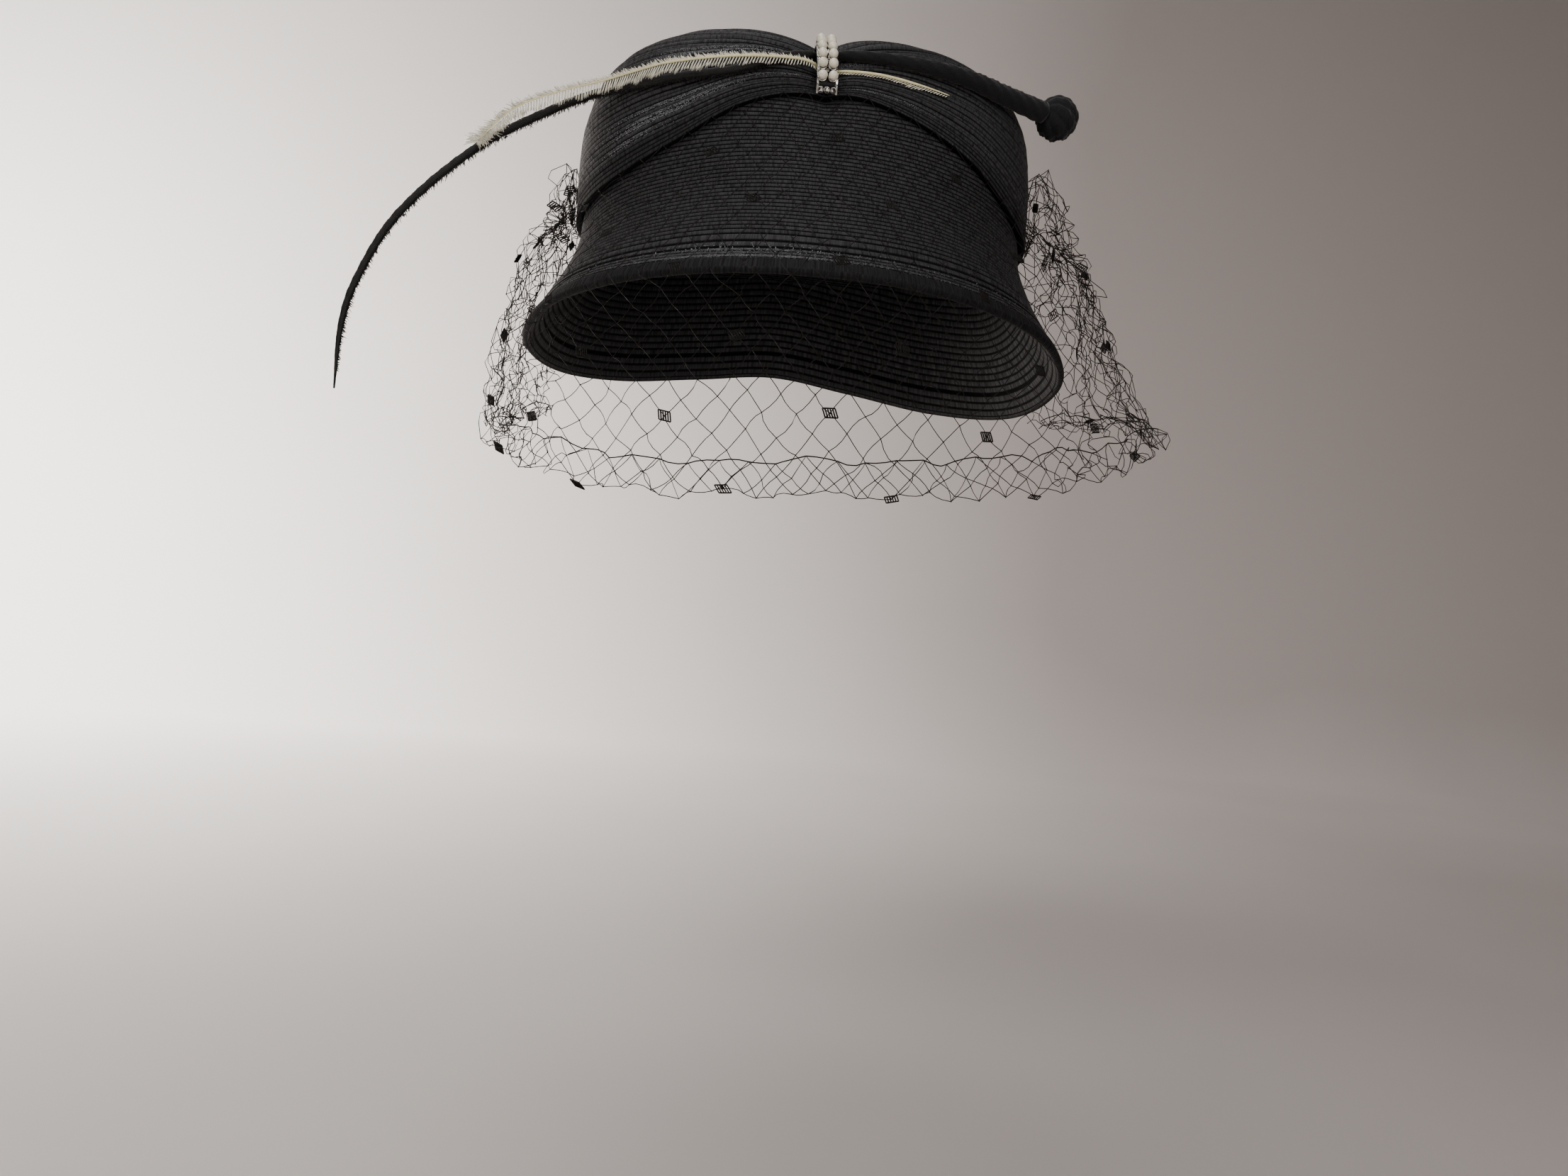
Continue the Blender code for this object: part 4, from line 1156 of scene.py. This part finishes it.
def make_quill(quill, velvet):
    """Stripped quill with stubble on its inner side, and the velvet stem past the clasp."""
    stations, _ = quill_path()
    length = lengths_along(stations)[-1]
    path = at_lengths(stations, np.linspace(0, length, QUILL_RINGS))
    middle = int(np.argmin(np.abs(path[:, 0]) + 10 * (path[:, 1] > 0)))
    bare = path[:middle + 1]
    ring = np.arange(QUILL_RINGS)
    rough = 1 + 0.05 * np.sin(ring * 0.9) + 0.04 * np.sin(ring * 2.3)
    shaft = ring_tube(bare[:, :3], bare[:, 3] * 0.94 * rough[:middle + 1], 12)
    ahead = units(np.gradient(bare[:, :3], axis=0))
    inside = np.array([0.35, 0.0, -1.0])
    below = units(inside - ahead * (ahead @ inside)[:, None])
    roots, ways, sizes = [], [], []
    for k in range(8, middle - 6):
        for _ in range(4):
            turn = rng.normal() * 0.5
            side = np.cross(ahead[k], below[k])
            way = below[k] * math.cos(turn) + side * math.sin(turn)
            step = ahead[k] * rng.uniform(-0.3, 0.3) * MM
            roots.append(bare[k, :3] + way * bare[k, 3] * 0.42 + step)
            ways.append(way - ahead[k] * rng.uniform(0.1, 0.9))
            sizes.append(rng.uniform(0.5, 1.7) * MM * min(1, bare[k, 3] / (2.2 * MM)))
    stubble = hairs(roots, ways, sizes, np.full(len(roots), 0.19 * MM))

    def pile(a, k):
        return 1 + 0.05 * np.sin(5 * a + 0.8 * k) + 0.04 * np.sin(9 * a - 1.7 * k)

    soft = path[middle:]
    stem = ring_tube(soft[:, :3], soft[:, 3], 24, pile)
    points, faces, owner = joined([shaft, stubble, stem])
    piece = add_piece("stripped_quill", points, faces, [quill, velvet],
                      [1 if n == 2 else 0 for n in owner])
    return fit(piece, "quill", "quill")


def make_bobble(velvet):
    """Gathered velvet ball: its lobes are notched between, and fold in at both ends."""
    stations, toward = quill_path()
    start = stations[-1, :3] + toward * FIT_GAP
    turns = math.pi * (0.12 + 0.84 * np.linspace(0, 1, 44))
    along = (np.cos(turns[0]) - np.cos(turns)) / (np.cos(turns[0]) - np.cos(turns[-1]))
    path = start + toward * (along * BOBBLE_LENGTH)[:, None]

    def lobes(a, k):
        notch = np.abs(np.sin(BOBBLE_LOBES / 2 * (a + 0.035 * k))) ** 0.6
        ripple = 0.02 * np.sin(23 * a + 1.3 * k) + 0.02 * np.sin(0.9 * k)
        return 0.88 + 0.13 * notch + ripple

    ball = ring_tube(path, np.sin(turns) * BOBBLE_WIDTH, 96, lobes)
    piece = add_piece("velvet_bobble", *ball, [velvet])
    return fit(piece, "velvet", "bobble")


# Feather

def make_feather(shaft_material, barb_material):
    """Ivory feather: a fine shaft, short fluff above it and combed barbs below it in tufts."""
    stations = feather_path()
    length = lengths_along(stations)[-1]
    count = int(length / BARB_STEP)
    path = at_lengths(stations, np.linspace(0, length, count))
    ahead = units(np.gradient(path[:, :3], axis=0))
    out = units(path[:, 3:6] - ahead * np.sum(path[:, 3:6] * ahead, 1)[:, None])
    up = np.cross(out, ahead)
    up = np.where(up[:, 2:3] < 0, -up, up)
    share = np.linspace(0, 1, count)
    girths = 0.95 * MM * np.interp(share, [0, 0.1, 0.6, 1], [0.35, 1.1, 0.8, 0.4])
    shaft = ring_tube(path[::3, :3] + 0.45 * MM * out[::3], girths[::3], 8)
    roots, ways, sizes, thick = [], [], [], []
    for k in range(2, count):
        stub = share[k] < STUB_END
        tuft = math.floor(share[k] * length / TUFT_PITCH)
        inward = ((tuft + 0.5) * TUFT_PITCH - share[k] * length) / MM
        fluff = np.clip((share[k] - FLUFF_START) / 0.14, 0, 1)
        below = path[k, 7] + 0.3 * MM
        above = (1.5 + 1.6 * share[k] + 0.8 * fluff) * MM
        if stub:
            below = (1.3 + 1.5 * bell(share[k], 0.07, 0.03)) * MM
            above = 0.45 * MM
        for side, width in ((-1, below), (1, above)):
            loose = 1.0 if side > 0 else fluff
            for _ in range(2 + int(2 * fluff)):
                reach = width * rng.uniform(0.85, 1.05)
                if side < 0:
                    reach *= 0.85 + 0.25 * math.sin(tuft * 12.9898) ** 2
                slant = (1.3 if stub else 0.38) if side < 0 else 1.0
                comb = (1 - loose) * inward
                way = up[k] * side + ahead[k] * (slant + 0.12 * comb)
                way = way + out[k] * rng.normal() * (0.05 + 0.3 * loose)
                way = way + ahead[k] * rng.normal() * (0.03 + 0.35 * loose)
                roots.append(path[k, :3] + up[k] * side * 0.25 * MM + ahead[k] * 0.7 * comb * MM)
                ways.append(way)
                sizes.append(reach * (1 + 0.5 * fluff * rng.uniform(0, 1)))
                thick.append((0.15 + 0.06 * share[k]) * MM)
        if share[k] > END_TUFT:
            # the end hangs over the quill
            for _ in range(5):
                roots.append(path[k, :3])
                ways.append(-up[k] + 0.6 * rng.normal(size=3) + 0.3 * out[k])
                sizes.append(rng.uniform(2.5, 5.0) * MM)
                thick.append(0.13 * MM)
    barbs = hairs(roots, ways, sizes, np.array(thick), 0.06)
    points, faces, owner = joined([shaft, barbs])
    piece = add_piece("ivory_feather", points, faces, [shaft_material, barb_material], owner)
    return fit(piece, "feather", "feather")


# Clasp

def nothing_selected():
    bpy.ops.object.select_all(action="DESELECT")


def placed(ahead, out, middle):
    """Matrix with X across the clasp, Y along it and Z out of it."""
    turn = Matrix([list(row) for row in np.stack([ACROSS, ahead, out], 1)]).to_4x4()
    return Matrix.Translation(Vector(middle)) @ turn


def keep(piece, name, material, matrix):
    """The piece's own mesh takes its place, so that its object sits at the origin."""
    piece.data.transform(matrix)
    piece.location = (0, 0, 0)
    piece.rotation_euler = (0, 0, 0)
    piece.name = name
    piece.data.name = name
    piece.data.materials.clear()
    piece.data.materials.append(material)
    return piece


def make_pearls(material):
    """Pearls modelled once and copied to their places."""
    nothing_selected()
    bpy.ops.mesh.primitive_uv_sphere_add(segments=28, ring_count=16, radius=PEARL_SIZE / 2)
    bpy.ops.object.shade_smooth()
    first = bpy.context.object
    for row in range(PEARL_ROWS):
        for side in ("left", "right"):
            node = f"pearl_{row + 1}_{side}"
            low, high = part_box(node)
            middle = (Vector(low) + Vector(high)) / 2
            pearl = new_object(node, first.data.copy())
            keep(pearl, f"lustre_{node}", material, Matrix.Translation(middle))
            fit(pearl, "pearl", node)
    bpy.data.objects.remove(first)


def make_clasp(silver, black):
    """Strip with raised edges, a cup under each pearl, and round prongs between them."""
    path = clasp_path()
    fine = at_lengths(path, np.linspace(0, lengths_along(path)[-1], 60))
    profile = [(-1.0, 0.0), (1.0, 0.0), (1.0, 1.25), (0.84, 1.3), (0.74, 0.85), (-0.74, 0.85),
               (-0.84, 1.3), (-1.0, 1.25)]
    rings = []
    for k, place in enumerate(fine):
        ahead = unit(fine[min(k + 1, len(fine) - 1)] - fine[max(k - 1, 0)])
        up = np.cross(ACROSS, ahead)
        rings.append([place + ACROSS * x * CLASP_WIDTH / 2 + up * z * CLASP_STRIP
                      for x, z in profile])
    count = len(profile)
    faces = [[k * count + n, k * count + (n + 1) % count, (k + 1) * count + (n + 1) % count,
              (k + 1) * count + n] for k in range(len(fine) - 1) for n in range(count)]
    # the strip's floor, between its raised edges, is blackened
    floor = [int(n == 4) for k in range(len(fine) - 1) for n in range(count)] + [0, 0]
    faces += [list(range(count))[::-1], [(len(fine) - 1) * count + n for n in range(count)]]
    strip = add_piece("clasp_strip", np.array(rings).reshape(-1, 3), faces, [silver, black], floor)
    parts = [strip]
    start = END_STONE_SIZE + 0.75 * PEARL_PITCH
    for row in range(PEARL_ROWS):
        place, ahead, out = clasp_frame(start + row * PEARL_PITCH)
        for sign in (-1, 1):
            middle = place + ACROSS * sign * PEARL_SPREAD / 2
            parts.append(cup(silver, placed(ahead, out, middle + out * 0.35 * MM),
                             PEARL_SIZE * 0.42, 0.32 * MM))
    for row in range(PEARL_ROWS + 1):
        place, ahead, out = clasp_frame(start + (row - 0.5) * PEARL_PITCH)
        for sign in (-1, 1):
            spot = place + ACROSS * sign * CLASP_WIDTH * 0.44 + out * 0.9 * MM
            parts.append(prong(silver, placed(ahead, out, spot), 0.42 * MM))
    place, ahead, out = clasp_frame(0.75 * END_STONE_SIZE)
    for k in range(END_STONES):
        offset = (k - (END_STONES - 1) / 2) * (END_STONE_SIZE + FIT_GAP)
        spot = place + ACROSS * offset + out * 0.75 * MM
        parts.append(cup(silver, placed(ahead, out, spot), END_STONE_SIZE * 0.5, 0.16 * MM))
    nothing_selected()
    for part in parts:
        part.select_set(True)
    bpy.context.view_layer.objects.active = strip
    bpy.ops.object.join()
    strip.name = "pearl_clasp_setting"
    bpy.ops.object.shade_smooth_by_angle(angle=math.radians(50))
    return fit(strip, "setting", "clasp_bar")


def cup(material, matrix, radius, wire):
    nothing_selected()
    bpy.ops.mesh.primitive_torus_add(major_radius=radius, minor_radius=wire, major_segments=20,
                                     minor_segments=8)
    return keep(bpy.context.object, "cup", material, matrix)


def prong(material, matrix, radius):
    nothing_selected()
    bpy.ops.mesh.primitive_uv_sphere_add(segments=12, ring_count=8, radius=radius)
    return keep(bpy.context.object, "prong", material, matrix)


# Stage

def backdrop_material():
    """Matte paper with painted light and shade: warm white at the left, painted darker to a grey-brown
    behind the hat's right side, less so on the floor.
    """
    material, tree, shader = new_material("paper_sweep_painted_falloff", "#cfc8c9", 0.9)
    place = add_node(tree, "ShaderNodeTexCoord")
    spot = add_node(tree, "ShaderNodeSeparateXYZ", {"Vector": (place, "Object")})
    # painted light falloff: the paper is painted darker towards +X, less on the floor than on the wall,
    # over a faint mottle
    across = remap(tree, (spot, "X"), -0.75, 0.75, interpolation_type="SMOOTHSTEP")
    height = remap(tree, (spot, "Z"), -0.36, 0.2, 0.6)
    painted_falloff = calc(tree, "MULTIPLY", across, height)
    shade = calc(tree, "MULTIPLY_ADD", object_noise(tree, 2.6), 0.12, painted_falloff)
    add_tint(shader, shade, "#e6e0dc", "#918986")
    return material


def select_edges(mesh, chosen):
    """Selects the edges that have both ends at chosen places."""
    skin = bmesh.from_edit_mesh(mesh)
    for edge in skin.edges:
        edge.select_set(all(chosen(v.co) for v in edge.verts))
    bmesh.update_edit_mesh(mesh)


def make_stage():
    """Floor that curves up into a wall well behind the hat."""
    nothing_selected()
    bpy.ops.mesh.primitive_plane_add(size=1, location=(0, 0, FLOOR_HEIGHT))
    sweep = bpy.context.object
    sweep.data.transform(Matrix.Diagonal((8.0, 5.0, 1.0, 1.0)))
    sweep.data.transform(Matrix.Translation((0, -1.2, 0)))
    bpy.ops.object.mode_set(mode="EDIT")
    select_edges(sweep.data, lambda place: place.y > 1.0)
    bpy.ops.mesh.extrude_region_move(TRANSFORM_OT_translate={"value": (0, 0, 3.2)})
    select_edges(sweep.data, lambda place: place.y > 1.0 and place.z < 0.1)
    bpy.ops.mesh.bevel(offset=0.9, segments=24, affect="EDGES")
    bpy.ops.object.mode_set(mode="OBJECT")
    bpy.ops.object.shade_smooth()
    sweep.name = "paper_backdrop"
    sweep.data.materials.append(backdrop_material())


def add_light(name, place, target, size, power, colour, spread=180):
    light = bpy.data.lights.new(name, "AREA")
    light.spread = math.radians(spread)
    light.shape = "DISK"
    light.size = size
    light.energy = power
    light.color = linear(colour)[:3]
    lamp = new_object(name, light)
    lamp.location = place
    lamp.rotation_euler = (Vector(target) - Vector(place)).to_track_quat("-Z", "Y").to_euler()


def make_camera():
    """Level camera in front of the hat, which is turned 5 degrees and leans 4 degrees to it."""
    yaw, roll = math.radians(5), math.radians(4)
    turn = Matrix.Rotation(yaw, 3, "Z")
    lean = Matrix(((math.cos(roll), 0, math.sin(roll)), (0, 1, 0),
                   (-math.sin(roll), 0, math.cos(roll))))
    view = (lean @ turn).transposed()
    place = view @ Vector((-6.4 * MM, -560 * MM, -142.2 * MM))
    camera = bpy.data.cameras.new("camera")
    camera.sensor_width = 36.0
    # 1935.5 pixels of focal length on a frame 2212 pixels wide
    camera.lens = 36.0 * 1935.5 / 2212
    camera.clip_start = 0.02
    camera.clip_end = 20
    holder = new_object("camera", camera)
    right, ahead, up = view.col[0], view.col[1], view.col[2]
    holder.matrix_world = Matrix((
        (right.x, up.x, -ahead.x, place.x),
        (right.y, up.y, -ahead.y, place.y),
        (right.z, up.z, -ahead.z, place.z),
        (0, 0, 0, 1),
    ))
    bpy.context.scene.camera = holder


def make_light():
    world = bpy.data.worlds.new("soft_room")
    world.use_nodes = True
    world.node_tree.nodes["Background"].inputs["Color"].default_value = linear("#e6e3e6")
    world.node_tree.nodes["Background"].inputs["Strength"].default_value = 0.17
    bpy.context.scene.world = world
    middle = (0.0, 0.0, -0.02)
    add_light("window", (-0.7, -1.2, 1.1), middle, 0.9, 14, "#fffefc")
    add_light("front_fill", (0.6, -1.7, 0.1), middle, 1.3, 15, "#fffaf6")
    add_light("top", (-0.3, 0.1, 1.5), middle, 0.8, 6, "#ffffff")
    add_light("wall_wash", (-1.8, 0.2, 0.5), (-0.9, 1.2, -0.1), 0.7, 37, "#fffcf8", 84)
    add_light("floor_wash", (-0.9, 0.0, 0.7), (-0.5, 0.3, -0.36), 0.3, 1.3, "#fffcf8", 60)


def main():
    make_camera()
    straw = straw_material()
    fit(make_crown(straw), "straw", "crown")
    fit(make_brim(straw), "straw", "brim")
    fit(make_veil(thread_material()), "net", "veil")
    quill = pile_material("stripped_quill_vane", "#0b0a0a", "#1d1b1b", 0.5 * MM, 0.15 * MM, 0.6, 0.05)
    velvet = pile_material("cotton_velvet", "#0a0a0b", "#1c1c1f", 0.35 * MM, 0.25 * MM, 0.95, 0.15)
    make_quill(quill, velvet)
    make_bobble(velvet)
    shaft = pile_material("feather_shaft", "#dcd3a0", "#f1eabf", 0.8 * MM, 0.05 * MM, 0.5, 0.1)
    barb = pile_material("ostrich_barbs", "#e6e0c8", "#fbf8ec", 0.9 * MM, 0.05 * MM, 0.8, 0.3)
    make_feather(shaft, barb)
    make_clasp(silver_material(), blackened_material())
    make_pearls(pearl_material())
    glass = stone_material()
    for name in [f"stone_{k + 1}" for k in range(PEARL_ROWS - 1)] + [
        f"end_stone_{k + 1}" for k in range(END_STONES)
    ]:
        nodes[name].data.materials.clear()
        nodes[name].data.materials.append(glass)
    make_stage()
    make_light()


main()
